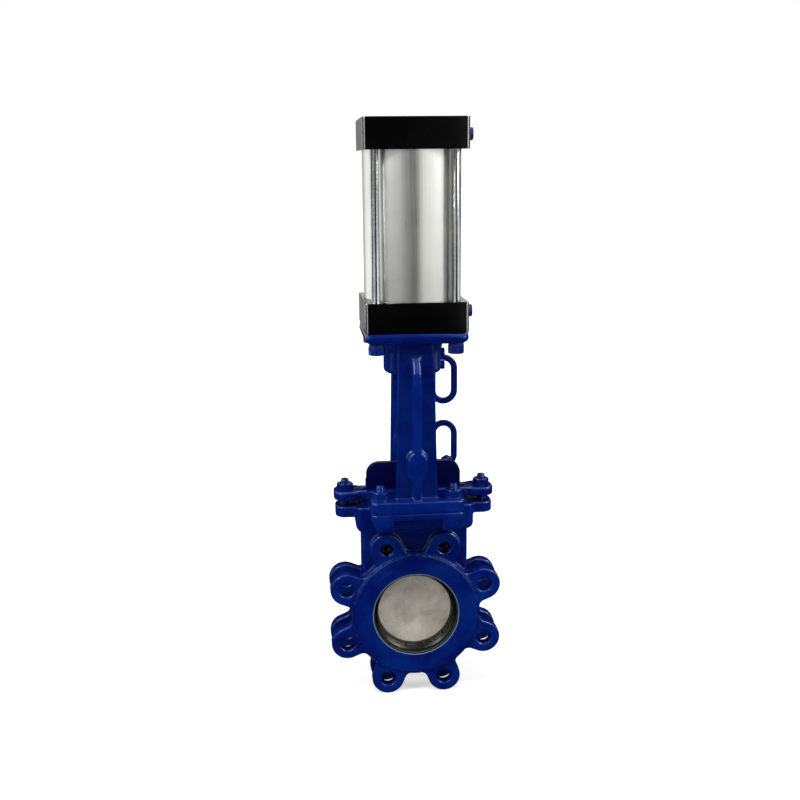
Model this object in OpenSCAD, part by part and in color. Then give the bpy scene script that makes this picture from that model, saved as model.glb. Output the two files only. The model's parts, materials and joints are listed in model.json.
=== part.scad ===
// Lug-type knife gate valve, moved by a tie-rod air cylinder on a cast two-leg yoke.
// The origin is the centre of the inlet gasket face. +Y runs with the flow, +Z up the stem.
// Modules are drawn about the middle plane of the body and shifted by at_mid().

/* [Pipe port] */
// Bore of the pipe port
port_d = 100; // [94:1:104]
// Distance between the two gasket faces
face_to_face = 52; // [48:1:58]
// Chamfer at each mouth of the port
port_chamfer = 1.5; // [0.5:0.1:2.5]
// Diameter of the raised gasket face
raised_face_d = 152; // [140:1:154]
// Height of the raised gasket face
raised_face_h = 2; // [1:0.5:3]
// Clear diameter inside the seat ring
seat_d = 90; // [86:0.2:93]
// Least wall of the seat ring
seat_wall = 4.5; // [3.5:0.1:5.5]
// Depth to which the seat ring is let into the wall of the port
seat_lip = 0.3; // [0.2:0.05:0.6]
// Depth of the metal seat ring along the port
seat_ring_l = 12; // [9:0.5:13]
// Width of each step turned in the front of the seat ring
seat_step_w = 1.2; // [0.8:0.1:1.5]
// Depth of the rubber seat along the port
seat_rubber_l = 4; // [3:0.5:5]

/* [Flange lugs] */
// Diameter of the bolt circle
bolt_circle_d = 180; // [177:1:184]
// Diameter of the through bolt holes
bolt_hole_d = 18; // [16:0.5:19]
// Core diameter of the tapped holes under the packing box
tapped_hole_d = 14; // [12:0.5:15]
// Depth of the tapped holes
tapped_hole_l = 13; // [10:0.5:14]
// Thickness of each flange plate
flange_t = 14; // [11:0.5:15]
// Radius of the round end of a lug
lug_r = 19.5; // [18:0.5:20.5]
// Diameter of the flange disc between the lugs
flange_disc_d = 156; // [155:0.5:160]
// Fillet radius between a lug and the disc
lug_fillet_r = 8; // [5:0.5:9]

/* [Knife gate] */
// Thickness of the gate plate
gate_t = 8; // [6:0.5:9]
// Width of the gate plate
gate_w = 112; // [110:0.5:113]
// Height of the gate's top edge above the port axis, when shut
gate_top_z = 186; // [182:0.5:188]
// Radius of the gate's two top corners
gate_corner_r = 15; // [8:1:20]
// Width of the bevel along the gate's round lower edge
gate_bevel = 3; // [1:0.5:4]
// Distance from the gate's side edge in to its switch target
target_inset = 13.2; // [12:0.2:16]
// Distance from the gate's top edge down to the switch target
target_drop = 7; // [7:0.5:9]
// Reach of the switch target behind the gate
target_reach = 17; // [14:0.5:20]
// Travel of the gate between shut and open
stroke = 106; // [98:1:107]

/* [Body casting] */
// Width of the chest that houses the gate
chest_w = 127; // [126:0.5:132]
// Thickness of the chest along the flow
chest_t = 32; // [30:1:36]
// Corner radius of the chest
chest_corner_r = 6; // [3:0.5:8]
// Outer radius of the round bonnet below the port
bowl_r = 69; // [66:0.5:72]
// Width of the packing box
box_w = 140; // [138:1:144]
// Thickness of the packing box along the flow
box_t = 48; // [44:1:50]
// Height of the packing box's lower edge
box_low_z = 111; // [109:0.5:113]
// Height of the packing box's top face
box_top_z = 136.5; // [134.5:0.5:137.5]
// Height of the slope between chest and packing box
box_slope_h = 7; // [4:0.5:9]
// Corner radius of the packing box
box_corner_r = 8; // [4:0.5:10]
// Thickness of the body's two gland ears
ear_t = 13; // [10:0.5:15]
// Reach of the body's gland ears from the middle
ear_reach = 93.5; // [92:0.5:96]
// Width of a gland ear along the flow
ear_w = 34; // [30:1:38]
// Corner radius of a gland ear
ear_corner_r = 12; // [6:0.5:14]

/* [Yoke seats on the body] */
// Width of the yoke seats and of the yoke's feet
foot_w = 108.4; // [104:0.2:110]
// Distance from the middle plane to the front of a seat
foot_reach = 58; // [56:0.5:60]
// Corner radius of seats and feet
foot_corner_r = 8; // [4:0.5:10]
// Height of the seats' top faces
seat_top_z = 138; // [137:0.5:139]
// Thickness of the seat plate between its two legs
seat_plate_t = 7.5; // [6:0.5:9]
// Height of the seat's front face at its two legs
seat_front_h = 21; // [18:0.5:23]
// Width of the gap between the legs of a seat
seat_gap_w = 56; // [50:1:60]
// Size of the chamfer on the outer corner of each leg
seat_chamfer = 7.4; // [4:0.2:9]

/* [Packing and gland] */
// Clearance between the gate and the cavity walls
gate_side_gap = 0.6; // [0.4:0.05:1]
// Width of the packing around the gate
packing_w = 7.8; // [6.5:0.1:8.2]
// Height of one packing ring
packing_h = 6.8; // [6:0.1:7]
// Number of packing rings
packing_count = 3; // [2:1:3]
// Height of the gap between the body's ears and the gland's ears
gland_gap = 7.5; // [6:0.5:10]
// Thickness of the gland flange
gland_t = 10; // [8:0.5:12]
// Reach of the gland's ears from the middle
gland_reach = 95; // [93:0.5:97]
// Thickness of the waist of the gland flange
gland_waist_w = 27; // [26:0.5:32]
// Length of the relief at each end of the gland's slot
gland_relief_w = 3.5; // [2:0.5:5]
// Depth of that relief from the top of the gland
gland_relief_h = 5; // [3:0.5:7]

/* [Yoke] */
// Thickness of the yoke's feet
foot_t = 14; // [11:0.5:16]
// Depth of a foot along the flow
foot_depth = 31; // [29:0.5:32]
// Distance from the middle plane to the inner face of a leg
leg_inner_y = 32; // [31:0.5:33]
// Thickness of a leg
leg_t = 10; // [8:0.5:12]
// Width of a leg at its foot
leg_w_low = 48.5; // [42:0.5:50]
// Width of a leg under the top plate
leg_w_high = 41; // [36:0.5:43]
// Width of the rib down the outside of a leg
rib_w = 9; // [6:0.5:12]
// Height of the rib over the face of the leg
rib_h = 12; // [8:0.5:14]
// Height of the upper end of the rib
rib_top_z = 309; // [300:1:312]
// Width of the oval pad on the rib
pad_w = 23; // [18:0.5:26]
// Length of the oval pad on the rib
pad_l = 35; // [28:0.5:40]
// Height of the middle of the oval pad
pad_z = 192.5; // [188:0.5:200]
// Radius of the hub around the stem
hub_r = 33.5; // [32:0.5:35]
// Height of the hub's lower face
hub_low_z = 294; // [294:0.5:298]
// Edge radius of the hub's lower face
hub_edge_r = 5; // [3:0.5:6]
// Radius of the hub where it meets the top plate
hub_flare_r = 40; // [37:0.5:42]
// Height of the flare at the top of the hub
hub_flare_h = 14; // [10:0.5:16]
// Bore of the hub
hub_bore_d = 50; // [48:0.5:52]
// Width of the top plate
plate_w = 116; // [114:0.5:120]
// Thickness of the top plate
plate_t = 13; // [11:0.5:14]
// Height of the top plate's upper face
plate_top_z = 346.7; // [345:0.1:350]
// Corner radius of the top plate
plate_corner_r = 9; // [6:0.5:12]
// Slope on the lower edge of the top plate
plate_slope_w = 6.5; // [4:0.5:8]

/* [Air cylinder] */
// Bore of the cylinder
cylinder_bore = 100; // [96:1:102]
// Wall thickness of the cylinder tube
tube_wall = 4.4; // [3:0.2:5]
// Width of the square end caps
cap_w = 115; // [112:0.5:118]
// Thickness of each end cap
cap_t = 33.5; // [32:0.5:36]
// Corner radius of the end caps
cap_corner_r = 3.5; // [1.5:0.5:5]
// Distance between the end caps
cap_gap = 162.6; // [162:0.5:170]
// Depth to which the tube sits in each cap
tube_seat_l = 5; // [3:0.5:6]
// Height of the boss that centres the tube
tube_boss_h = 4; // [3:0.5:5]
// Distance between neighbouring tie rods
tie_rod_pitch = 89; // [87:0.5:90]
// Diameter of a tie rod
tie_rod_d = 10; // [8:0.5:10]
// Outer diameter of a tie-rod nut
tie_nut_d = 17; // [15:0.5:18]
// Length of a tie-rod nut
tie_nut_l = 16; // [12:0.5:18]
// Core diameter of the thread in a tie-rod nut
tie_thread_d = 8.5; // [6.8:0.1:8.5]
// Diameter of the centring nose under the bottom cap
nose_d = 55; // [52:0.5:58]
// Length of the centring nose
nose_l = 9; // [6:0.5:10]
// Diameter of the piston rod
rod_d = 25; // [22:0.5:26]
// Diameter of the threaded ends of the piston rod
rod_thread_d = 20; // [16:0.5:20]
// Thickness of the piston
piston_t = 42; // [38:0.5:44]
// Gap under the piston when the gate is shut
piston_low_gap = 2; // [1:0.5:3]
// Core diameter of the air ports
air_port_d = 11.8; // [10:0.2:12]
// Depth of the air ports
air_port_l = 17; // [14:0.5:18]

/* [Switch brackets] */
// Distance from the middle of the stem to the middle of the slots
bracket_x = 40.5; // [40:0.5:43]
// Height of the middle of the upper slot
bracket_high_z = 277.3; // [274:0.1:279]
// Distance between the middles of the two slots
bracket_pitch = 80; // [76:0.5:84]
// Width of a slot
slot_w = 18.5; // [17:0.5:19]
// Length of a slot from end to end
slot_l = 45; // [38:0.5:46]
// Width of the metal round a slot
slot_rim = 7.5; // [6:0.5:8]
// Thickness of a bracket
bracket_t = 3; // [2:0.5:3]
// Height of the bracket's tab on the leg
tab_h = 26; // [24:0.5:28]

/* [Fasteners] */
// Diameter of the gland and yoke studs
stud_d = 10; // [8:0.5:10]
// Width across flats of their nuts
nut_af = 17; // [15:0.5:17]
// Height of their nuts
nut_h = 8; // [6:0.5:9]
// Diameter of the washers under the yoke nuts
washer_d = 20; // [18:0.5:21]
// Thickness of the washers
washer_t = 2; // [1.5:0.1:2.5]
// Distance from the middle to a gland stud
gland_stud_x = 81.5; // [80.5:0.5:82]
// Length of gland stud above its nut
gland_stud_over = 5; // [3:0.5:8]
// Distance from the middle to a yoke stud, across the flow
yoke_stud_x = 42.5; // [41:0.5:43]
// Distance from the middle plane to a yoke stud
yoke_stud_y = 42; // [41:0.5:43]
// Length of yoke stud above its nut
yoke_stud_over = 7; // [4:0.5:9]
// Width across flats of the cylinder bolt heads
cylinder_bolt_af = 17; // [15:0.5:17]
// Height of the cylinder bolt heads
cylinder_bolt_h = 10; // [7:0.5:11]
// Width across flats of the small bolts on hub and brackets
small_bolt_af = 10; // [9:0.5:10]
// Diameter of the small bolts
small_bolt_d = 6; // [5:0.5:6]
// Height of the small bolt heads
small_bolt_h = 4; // [3:0.5:5]

/* [Stem clevis] */
// Width of the clevis
clevis_w = 36; // [34:0.5:38]
// Thickness of the clevis along the flow
clevis_t = 24; // [22:0.5:26]
// Height of the clevis over the gate's top edge
clevis_over = 22; // [20:0.5:23]
// Depth to which the clevis grips the gate
clevis_grip = 29; // [26:0.5:30]
// Diameter of the clevis bolts
clevis_bolt_d = 8; // [6:0.5:8]
// Distance between the two clevis bolts
clevis_bolt_pitch = 18; // [16:0.5:18]
// Width across flats of the clevis bolts and nuts
clevis_bolt_af = 13; // [11:0.5:13]
// Thickness of the lock nut on the stem
lock_nut_h = 10; // [8:0.5:10]
// Width across flats of the lock nut
lock_nut_af = 30; // [27:0.5:30]

/* [Port plugs] */
// Diameter of a dust plug's cap
plug_cap_d = 14.4; // [13:0.2:16]
// Thickness of a dust plug's cap
plug_cap_t = 4.2; // [3:0.2:5]
// Length of neck that shows between cylinder and plug cap
plug_neck_l = 7.5; // [4:0.5:9]
// Depth of a dust plug in its port
plug_depth = 9; // [6:0.5:12]

/* [Hidden] */
$fn = 72;

// Finishes
paint = [0.03, 0.13, 0.5];
black = [0.05, 0.05, 0.055];
alloy = [0.82, 0.82, 0.79];
steel = [0.7, 0.7, 0.72];
stainless = [0.62, 0.61, 0.57];
rubber = [0.06, 0.06, 0.06];
bronze = [0.6, 0.45, 0.2];
polymer = [0.9, 0.9, 0.86];

// Clearances
fit_gap = 0.05;
slide_gap = 0.15;
stud_gap = 0.5;
over = 1;

// Flanges
mid_y = face_to_face / 2;
port_r = port_d / 2;
lug_face_y = mid_y - raised_face_h;
bolt_circle_r = bolt_circle_d / 2;
flange_disc_r = flange_disc_d / 2;
lug_angle_step = 45;
first_lug_angle = 22.5;
top_lug_angles = [67.5, 112.5];
through_lug_angles = [22.5, 157.5, 202.5, 247.5, 292.5, 337.5];
fillet_sink = 0.02;

// Seat
seat_out_r = max(port_r + seat_lip, seat_d / 2 + seat_wall);
seat_rubber_lip = 0.4;
seat_face_gap = 0.15;
seat_back_y = -gate_t / 2 - seat_face_gap;
seat_front_y = seat_back_y - seat_rubber_l - seat_ring_l;

// Gate and its cavity
gate_r = gate_w / 2;
gate_half_t = gate_t / 2;
cavity_half_t = gate_half_t + gate_side_gap;
guide_t = 1.8;
guide_low_z = 6;
cavity_half_w = gate_r + 2 * slide_gap + guide_t + slide_gap;
bowl_cavity_r = gate_r + gate_side_gap + over;

// Packing box
box_half_w = box_w / 2;
box_half_t = box_t / 2;
chamber_half_w = gate_r + packing_w + slide_gap;
chamber_half_t = gate_half_t + packing_w + slide_gap;
chamber_drop = 3;
chamber_low_z = box_low_z - chamber_drop;
packing_low_z = chamber_low_z;
packing_top_z = packing_low_z + packing_count * packing_h;
ear_low_z = box_top_z - ear_t;
gland_low_z = box_top_z + gland_gap;
gland_top_z = gland_low_z + gland_t;

// Yoke
foot_half_w = foot_w / 2;
foot_top_z = seat_top_z + foot_t;
foot_back_y = foot_reach - foot_depth;
seat_low_z = seat_top_z - seat_front_h;
gusset_root_drop = 14;
leg_outer_y = leg_inner_y + leg_t;
rib_front_y = leg_outer_y + rib_h;
pad_front_y = rib_front_y;
rib_fade_h = 9;
plate_low_z = plate_top_z - plate_t;
plate_half_w = plate_w / 2;
plate_draft = 1.5;
plate_slope_h = 5.5;
nose_recess_l = nose_l + 0.5;
leg_top_z = plate_low_z + over;

// Cylinder
tube_in_r = cylinder_bore / 2;
tube_out_r = tube_in_r + tube_wall;
cap_half_w = cap_w / 2;
low_cap_z = plate_top_z;
low_cap_top_z = low_cap_z + cap_t;
high_cap_z = low_cap_top_z + cap_gap;
high_cap_top_z = high_cap_z + cap_t;
tie_offset = tie_rod_pitch / 2;
rod_r = rod_d / 2;
rod_thread_r = rod_thread_d / 2;
air_port_r = air_port_d / 2;
air_way_r = 3;
air_way_x = cap_half_w - air_port_l + air_way_r;
bush_r = rod_r + 3;
bush_l = 18;
seal_r = rod_r + 5;
seal_l = 7;
wiper_r = rod_r + 4;
wiper_l = 5;
o_ring_r = 1.25;
o_groove_r = tube_in_r - 2 * o_ring_r + fit_gap;
o_groove_w = 2.7;
nut_pocket_r = tie_nut_d / 2 + fit_gap;

// Piston
piston_low_z = low_cap_top_z + tube_boss_h + piston_low_gap;
piston_top_z = piston_low_z + piston_t;
piston_r = tube_in_r - slide_gap;
piston_groove_r = tube_in_r - 5;
piston_seal_l = 6;
wear_ring_l = 12;
wear_ring_t = 2.4;
piston_nut_h = 12;
piston_nut_af = 30;
piston_nut_sink = 10;

// Clevis
clevis_low_z = gate_top_z - clevis_grip;
clevis_top_z = gate_top_z + clevis_over;
clevis_bolt_z = gate_top_z - clevis_grip / 2;
target_x = gate_r - target_inset;
target_z = gate_top_z - target_drop;
target_hole_l = gate_t - 1.5;
clevis_head_h = 5.3;
clevis_nut_h = 6.5;
stem_low_z = gate_top_z + 4;
lock_nut_low_z = clevis_top_z;
lock_nut_top_z = clevis_top_z + lock_nut_h;

// Brackets
bracket_low_z = bracket_high_z - bracket_pitch;
bracket_out_y = leg_inner_y;
bracket_in_y = leg_inner_y - bracket_t;
bracket_end_r = slot_w / 2 + slot_rim;
tab_x = 3;
bracket_bolt_x = 12;
bracket_bolt_pitch = 14;
hub_bolt_z = [301, 315.5];

// Moves children from the middle plane of the body to their place
module at_mid() {
    translate([0, mid_y, 0]) children();
}

// Draws children and their mirror image across the flow
module both_x() {
    children();
    mirror([1, 0, 0]) children();
}

// Draws children and their mirror image along the flow
module both_y() {
    children();
    mirror([0, 1, 0]) children();
}

// Draws children at the four tie rods
module at_tie_rods() {
    for (sx = [-1, 1])
        for (sy = [-1, 1])
            translate([sx * tie_offset, sy * tie_offset, 0]) children();
}

// Draws children at the four yoke studs
module at_yoke_studs() {
    for (sx = [-1, 1])
        for (sy = [-1, 1])
            translate([sx * yoke_stud_x, sy * yoke_stud_y, 0]) children();
}

// Stands an XZ outline up and gives it a depth from y0 to y1
module xz_prism(y0, y1) {
    translate([0, y1, 0]) rotate([90, 0, 0]) linear_extrude(y1 - y0) children();
}

// Stands a YZ outline up and gives it a width from x0 to x1
module yz_prism(x0, x1) {
    translate([x0, 0, 0]) rotate([90, 0, 90]) linear_extrude(x1 - x0) children();
}

// Turns an outline drawn as radius and distance about the flow axis
module turned_y() {
    rotate([-90, 0, 0]) rotate_extrude() children();
}

// A rectangle with four round corners
module rounded_rect(x0, x1, y0, y1, r) {
    translate([x0 + r, y0]) square([x1 - x0 - 2 * r, y1 - y0]);
    translate([x0, y0 + r]) square([x1 - x0, y1 - y0 - 2 * r]);
    for (x = [x0 + r, x1 - r])
        for (y = [y0 + r, y1 - r])
            translate([x, y]) circle(r);
}

// A stadium outline that stands along its second axis
module stadium(r, length) {
    translate([-r, r - length / 2]) square([2 * r, length - 2 * r]);
    for (s = [-1, 1])
        translate([0, s * (length / 2 - r)]) circle(r);
}

// A round bar between two heights
module bar(r, z0, z1) {
    translate([0, 0, z0]) cylinder(r = r, h = z1 - z0);
}

// A hexagon with its corners turned off at one end or both
module hex_blank(af, h, low_chamfer = true, top_chamfer = true) {
    corner_r = af / 2 / cos(30);
    face_r = af / 2 * 0.96;
    out_r = corner_r * 1.05;
    drop = (out_r - face_r) * tan(30);
    intersection() {
        cylinder(r = corner_r, h = h, $fn = 6);
        rotate_extrude() polygon([
            [0, 0], [low_chamfer ? face_r : out_r, 0], [out_r, low_chamfer ? drop : h / 4],
            [out_r, top_chamfer ? h - drop : h * 0.75], [top_chamfer ? face_r : out_r, h], [0, h]
        ]);
    }
}

// A hexagon nut
module hex_nut(af, h, bore_r) {
    difference() {
        hex_blank(af, h);
        translate([0, 0, -over]) cylinder(r = bore_r, h = h + 2 * over);
    }
}

// A stud with chamfered ends
module stud(d, z0, z1) {
    tip = d * 0.1;
    translate([0, 0, z0]) cylinder(r1 = d / 2 - tip, r2 = d / 2, h = tip);
    bar(d / 2, z0 + tip, z1 - tip);
    translate([0, 0, z1 - tip]) cylinder(r1 = d / 2, r2 = d / 2 - tip, h = tip);
}

// One lug, drawn along the first axis, with both fillets to the disc
module lug_outline() {
    side = lug_r + lug_fillet_r;
    along = sqrt(pow(flange_disc_r + lug_fillet_r, 2) - side * side);
    spread = atan2(side, along);
    disc_x = flange_disc_r * cos(spread);
    disc_y = flange_disc_r * sin(spread);
    translate([bolt_circle_r, 0]) circle(lug_r);
    difference() {
        polygon([
            [0, 0], [disc_x, -disc_y], [along, -side], [along, -lug_r], [bolt_circle_r, -lug_r],
            [bolt_circle_r, lug_r], [along, lug_r], [along, side], [disc_x, disc_y]
        ]);
        for (s = [-1, 1])
            translate([along, s * side]) circle(lug_fillet_r + fillet_sink);
    }
}

// The outline of one flange plate
module flange_outline() {
    circle(flange_disc_r, $fn = 120);
    for (a = [first_lug_angle : lug_angle_step : 360])
        rotate(a) lug_outline();
}

// The holes of one flange plate, cut on the inlet side
module flange_holes() {
    for (a = through_lug_angles)
        rotate([0, -a, 0]) translate([bolt_circle_r, -mid_y - over, 0]) rotate([-90, 0, 0])
            cylinder(d = bolt_hole_d, h = raised_face_h + flange_t + 2 * over);
    for (a = top_lug_angles)
        rotate([0, -a, 0]) translate([bolt_circle_r, -mid_y - over, 0]) rotate([-90, 0, 0])
            cylinder(d = tapped_hole_d, h = raised_face_h + tapped_hole_l + over);
}

// The plan of a pair of gland ears, joined by a waist
module ear_plan(reach, waist_w) {
    inner_x = gland_stud_x - ear_w * 0.6;
    translate([-gland_stud_x, -waist_w / 2]) square([2 * gland_stud_x, waist_w]);
    rounded_rect(inner_x, reach, -ear_w / 2, ear_w / 2, ear_corner_r);
    rounded_rect(-reach, -inner_x, -ear_w / 2, ear_w / 2, ear_corner_r);
}

// The chest, the packing box and the slope that joins them
module chest() {
    slope_z = box_low_z - box_slope_h;
    chest_half_w = chest_w / 2;
    chest_half_t = chest_t / 2;
    linear_extrude(box_low_z)
        rounded_rect(-chest_half_w, chest_half_w, -chest_half_t, chest_half_t, chest_corner_r);
    intersection() {
        translate([0, 0, slope_z]) linear_extrude(box_top_z - slope_z)
            rounded_rect(-box_half_w, box_half_w, -box_half_t, box_half_t, box_corner_r);
        xz_prism(-box_half_t, box_half_t) polygon([
            [-chest_half_w, slope_z], [chest_half_w, slope_z], [box_half_w, box_low_z],
            [box_half_w, box_top_z], [-box_half_w, box_top_z], [-box_half_w, box_low_z]
        ]);
        yz_prism(-box_half_w, box_half_w) polygon([
            [-chest_half_t, slope_z], [chest_half_t, slope_z], [box_half_t, box_low_z],
            [box_half_t, box_top_z], [-box_half_t, box_top_z], [-box_half_t, box_low_z]
        ]);
    }
}

// The front view of a yoke seat: a plate on two legs with cut corners
module seat_outline() {
    gap_half_w = seat_gap_w / 2;
    plate_under_z = seat_top_z - seat_plate_t;
    corner_z = seat_low_z + seat_chamfer * 1.9;
    polygon([
        [-foot_half_w, seat_top_z], [-foot_half_w, corner_z], [seat_chamfer - foot_half_w, seat_low_z],
        [-gap_half_w - 1, seat_low_z], [-gap_half_w, plate_under_z],
        [gap_half_w, plate_under_z], [gap_half_w + 1, seat_low_z],
        [foot_half_w - seat_chamfer, seat_low_z], [foot_half_w, corner_z], [foot_half_w, seat_top_z]
    ]);
}

// One yoke seat on the inlet side, with gussets that slope back to the chest
module yoke_seat() {
    root_y = chest_t / 2 - over;
    intersection() {
        xz_prism(-foot_reach, -root_y) seat_outline_deep();
        yz_prism(-foot_half_w, foot_half_w) polygon([
            [-foot_reach, seat_top_z], [-foot_reach, seat_low_z],
            [-root_y, seat_low_z - gusset_root_drop], [-root_y, seat_top_z]
        ]);
        translate([0, 0, seat_low_z - gusset_root_drop]) linear_extrude(seat_front_h + gusset_root_drop)
            rounded_rect(-foot_half_w, foot_half_w, -foot_reach, foot_corner_r, foot_corner_r);
    }
}

// The seat outline with its legs drawn on downwards, for the sloping gussets
module seat_outline_deep() {
    gap_half_w = seat_gap_w / 2;
    leg_half_w = foot_half_w - seat_chamfer;
    seat_outline();
    for (s = [-1, 1])
        polygon([
            [s * (gap_half_w + 1), seat_low_z + over], [s * leg_half_w, seat_low_z],
            [s * leg_half_w, seat_low_z - gusset_root_drop],
            [s * (gap_half_w + 1), seat_low_z - gusset_root_drop]
        ]);
}

// Cast body with two lug flanges, a flat chest and the packing box
module body_casting() {
    color(paint) at_mid() difference() {
        union() {
            both_y() {
                xz_prism(-lug_face_y, flange_t - lug_face_y) flange_outline();
                xz_prism(-mid_y, -lug_face_y) circle(d = raised_face_d, $fn = 120);
            }
            xz_prism(-lug_face_y, lug_face_y) circle(bowl_r, $fn = 120);
            chest();
            translate([0, 0, ear_low_z]) linear_extrude(ear_t) ear_plan(ear_reach, gland_waist_w);
            both_y() yoke_seat();
        }
        // port with its chamfered mouths
        turned_y() translate([0, -mid_y - over]) square([port_r, face_to_face + 2 * over]);
        both_y() turned_y() polygon([
            [0, -mid_y - over], [port_r + port_chamfer + over, -mid_y - over],
            [port_r, port_chamfer - mid_y], [0, port_chamfer - mid_y]
        ]);
        // groove of the seat, open towards the gate
        turned_y() translate([0, seat_front_y - fit_gap])
            square([seat_out_r + fit_gap, -cavity_half_t - seat_front_y + over]);
        // cavity of the gate
        xz_prism(-cavity_half_t, cavity_half_t) {
            circle(bowl_cavity_r, $fn = 120);
            translate([-cavity_half_w, 0]) square([2 * cavity_half_w, box_top_z + over]);
        }
        // packing chamber
        translate([-chamber_half_w, -chamber_half_t, chamber_low_z])
            cube([2 * chamber_half_w, 2 * chamber_half_t, box_top_z]);
        both_y() flange_holes();
        both_x() translate([gland_stud_x, 0, 0])
            bar(stud_d / 2 + fit_gap, ear_low_z - over, box_top_z + over);
        at_yoke_studs() bar(stud_d / 2 + fit_gap, seat_low_z - gusset_root_drop, seat_top_z + over);
    }
}

// Metal ring that holds the seat in the inlet port, turned with steps and a groove in front
module seat_ring() {
    in_r = seat_d / 2;
    back_y = seat_back_y - seat_rubber_l;
    step_l = seat_ring_l / 5;
    first_r = seat_out_r - seat_lip - seat_step_w;
    second_r = in_r + 2 * seat_step_w;
    third_r = in_r + seat_step_w;
    color(stainless) at_mid() turned_y() polygon([
        [in_r, back_y], [seat_out_r, back_y], [seat_out_r, seat_front_y],
        [first_r, seat_front_y], [first_r, seat_front_y + step_l * 0.8],
        [second_r, seat_front_y + step_l * 0.8], [second_r, seat_front_y + step_l * 1.6],
        [third_r + seat_step_w * 0.4, seat_front_y + step_l * 1.6],
        [third_r, seat_front_y + step_l * 2.2], [third_r, seat_front_y + step_l * 3],
        [in_r, seat_front_y + step_l * 3.5]
    ]);
}

// Rubber seat between the ring and the face of the gate
module seat_rubber() {
    in_r = seat_d / 2 - seat_rubber_lip;
    color(rubber) at_mid() turned_y()
        translate([in_r, seat_back_y - seat_rubber_l]) square([seat_out_r - in_r, seat_rubber_l]);
}

// Low-friction strips that guide the two edges of the gate
module gate_guides() {
    guide_half_t = cavity_half_t - fit_gap;
    color(polymer) at_mid() both_x()
        translate([gate_r + 2 * slide_gap, -guide_half_t, guide_low_z])
            cube([guide_t, 2 * guide_half_t, chamber_low_z - guide_low_z]);
}

// Square braided packing, one frame on another round the gate
module packing_rings() {
    out_x = chamber_half_w - fit_gap;
    out_y = chamber_half_t - fit_gap;
    in_x = gate_r + slide_gap;
    in_y = gate_half_t + slide_gap;
    color([0.25, 0.25, 0.24]) at_mid()
        for (i = [0 : packing_count - 1])
            translate([0, 0, packing_low_z + i * packing_h]) difference() {
                translate([-out_x, -out_y, 0]) cube([2 * out_x, 2 * out_y, packing_h - fit_gap]);
                translate([-in_x, -in_y, -over]) cube([2 * in_x, 2 * in_y, packing_h + 2 * over]);
            }
}

// Gland that presses on the packing, with an ear for each stud
module gland_follower() {
    nose_x = chamber_half_w - slide_gap;
    nose_y = chamber_half_t - slide_gap;
    in_x = gate_r + gate_side_gap;
    in_y = gate_half_t + gate_side_gap;
    color(paint) at_mid() difference() {
        union() {
            translate([0, 0, gland_low_z]) linear_extrude(gland_t) ear_plan(gland_reach, gland_waist_w);
            translate([-nose_x, -nose_y, packing_top_z])
                cube([2 * nose_x, 2 * nose_y, gland_low_z - packing_top_z + over]);
        }
        translate([-in_x, -in_y, packing_top_z - over])
            cube([2 * in_x, 2 * in_y, gland_top_z - packing_top_z + 2 * over]);
        translate([-in_x - gland_relief_w, -in_y, gland_top_z - gland_relief_h])
            cube([2 * in_x + 2 * gland_relief_w, 2 * in_y, gland_relief_h + over]);
        both_x() translate([gland_stud_x, 0, 0])
            bar(stud_d / 2 + stud_gap, gland_low_z - over, gland_top_z + over);
    }
}

// Studs of the gland, screwed into the body's ears
module gland_studs() {
    color(paint) at_mid() both_x() translate([gland_stud_x, 0, 0])
        stud(stud_d, ear_low_z + 1, gland_top_z + nut_h + gland_stud_over);
}

// Nuts on the gland studs
module gland_nuts() {
    color(paint) at_mid() both_x() translate([gland_stud_x, 0, gland_top_z])
        hex_nut(nut_af, nut_h, stud_d / 2 + fit_gap);
}

// One leg of the yoke on the inlet side, with its foot, rib and oval pad
module yoke_leg() {
    low_half_w = leg_w_low / 2;
    high_half_w = leg_w_high / 2;
    translate([0, 0, seat_top_z]) linear_extrude(foot_t)
        rounded_rect(-foot_half_w, foot_half_w, -foot_reach, -foot_back_y, foot_corner_r);
    xz_prism(-leg_outer_y, -leg_inner_y) polygon([
        [-low_half_w, foot_top_z - over], [low_half_w, foot_top_z - over],
        [high_half_w, leg_top_z], [-high_half_w, leg_top_z]
    ]);
    yz_prism(-rib_w / 2, rib_w / 2) polygon([
        [over - leg_outer_y, foot_top_z - over], [-rib_front_y, foot_top_z - over],
        [-rib_front_y, rib_top_z - rib_fade_h], [-leg_outer_y, rib_top_z + rib_fade_h],
        [over - leg_outer_y, rib_top_z + rib_fade_h]
    ]);
    xz_prism(-pad_front_y, over - leg_outer_y) translate([0, pad_z]) stadium(pad_w / 2, pad_l);
}

// Section of the hub, with a round lower edge and a flare under the plate
module hub_section() {
    translate([0, hub_low_z]) square([hub_r - hub_edge_r, leg_top_z - hub_low_z]);
    translate([0, hub_low_z + hub_edge_r]) square([hub_r, leg_top_z - hub_low_z - hub_edge_r]);
    translate([hub_r - hub_edge_r, hub_low_z + hub_edge_r]) circle(hub_edge_r);
    polygon([
        [0, plate_low_z - hub_flare_h], [hub_r, plate_low_z - hub_flare_h],
        [hub_r + (hub_flare_r - hub_r) * 0.3, plate_low_z - hub_flare_h * 0.4],
        [hub_flare_r, leg_top_z], [0, leg_top_z]
    ]);
}

// The profile of the square top plate, seen along either side
module plate_profile() {
    polygon([
        [plate_slope_w - plate_half_w, plate_low_z], [plate_half_w - plate_slope_w, plate_low_z],
        [plate_half_w, plate_low_z + plate_slope_h], [plate_half_w - plate_draft, plate_top_z],
        [plate_draft - plate_half_w, plate_top_z], [-plate_half_w, plate_low_z + plate_slope_h]
    ]);
}

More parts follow.
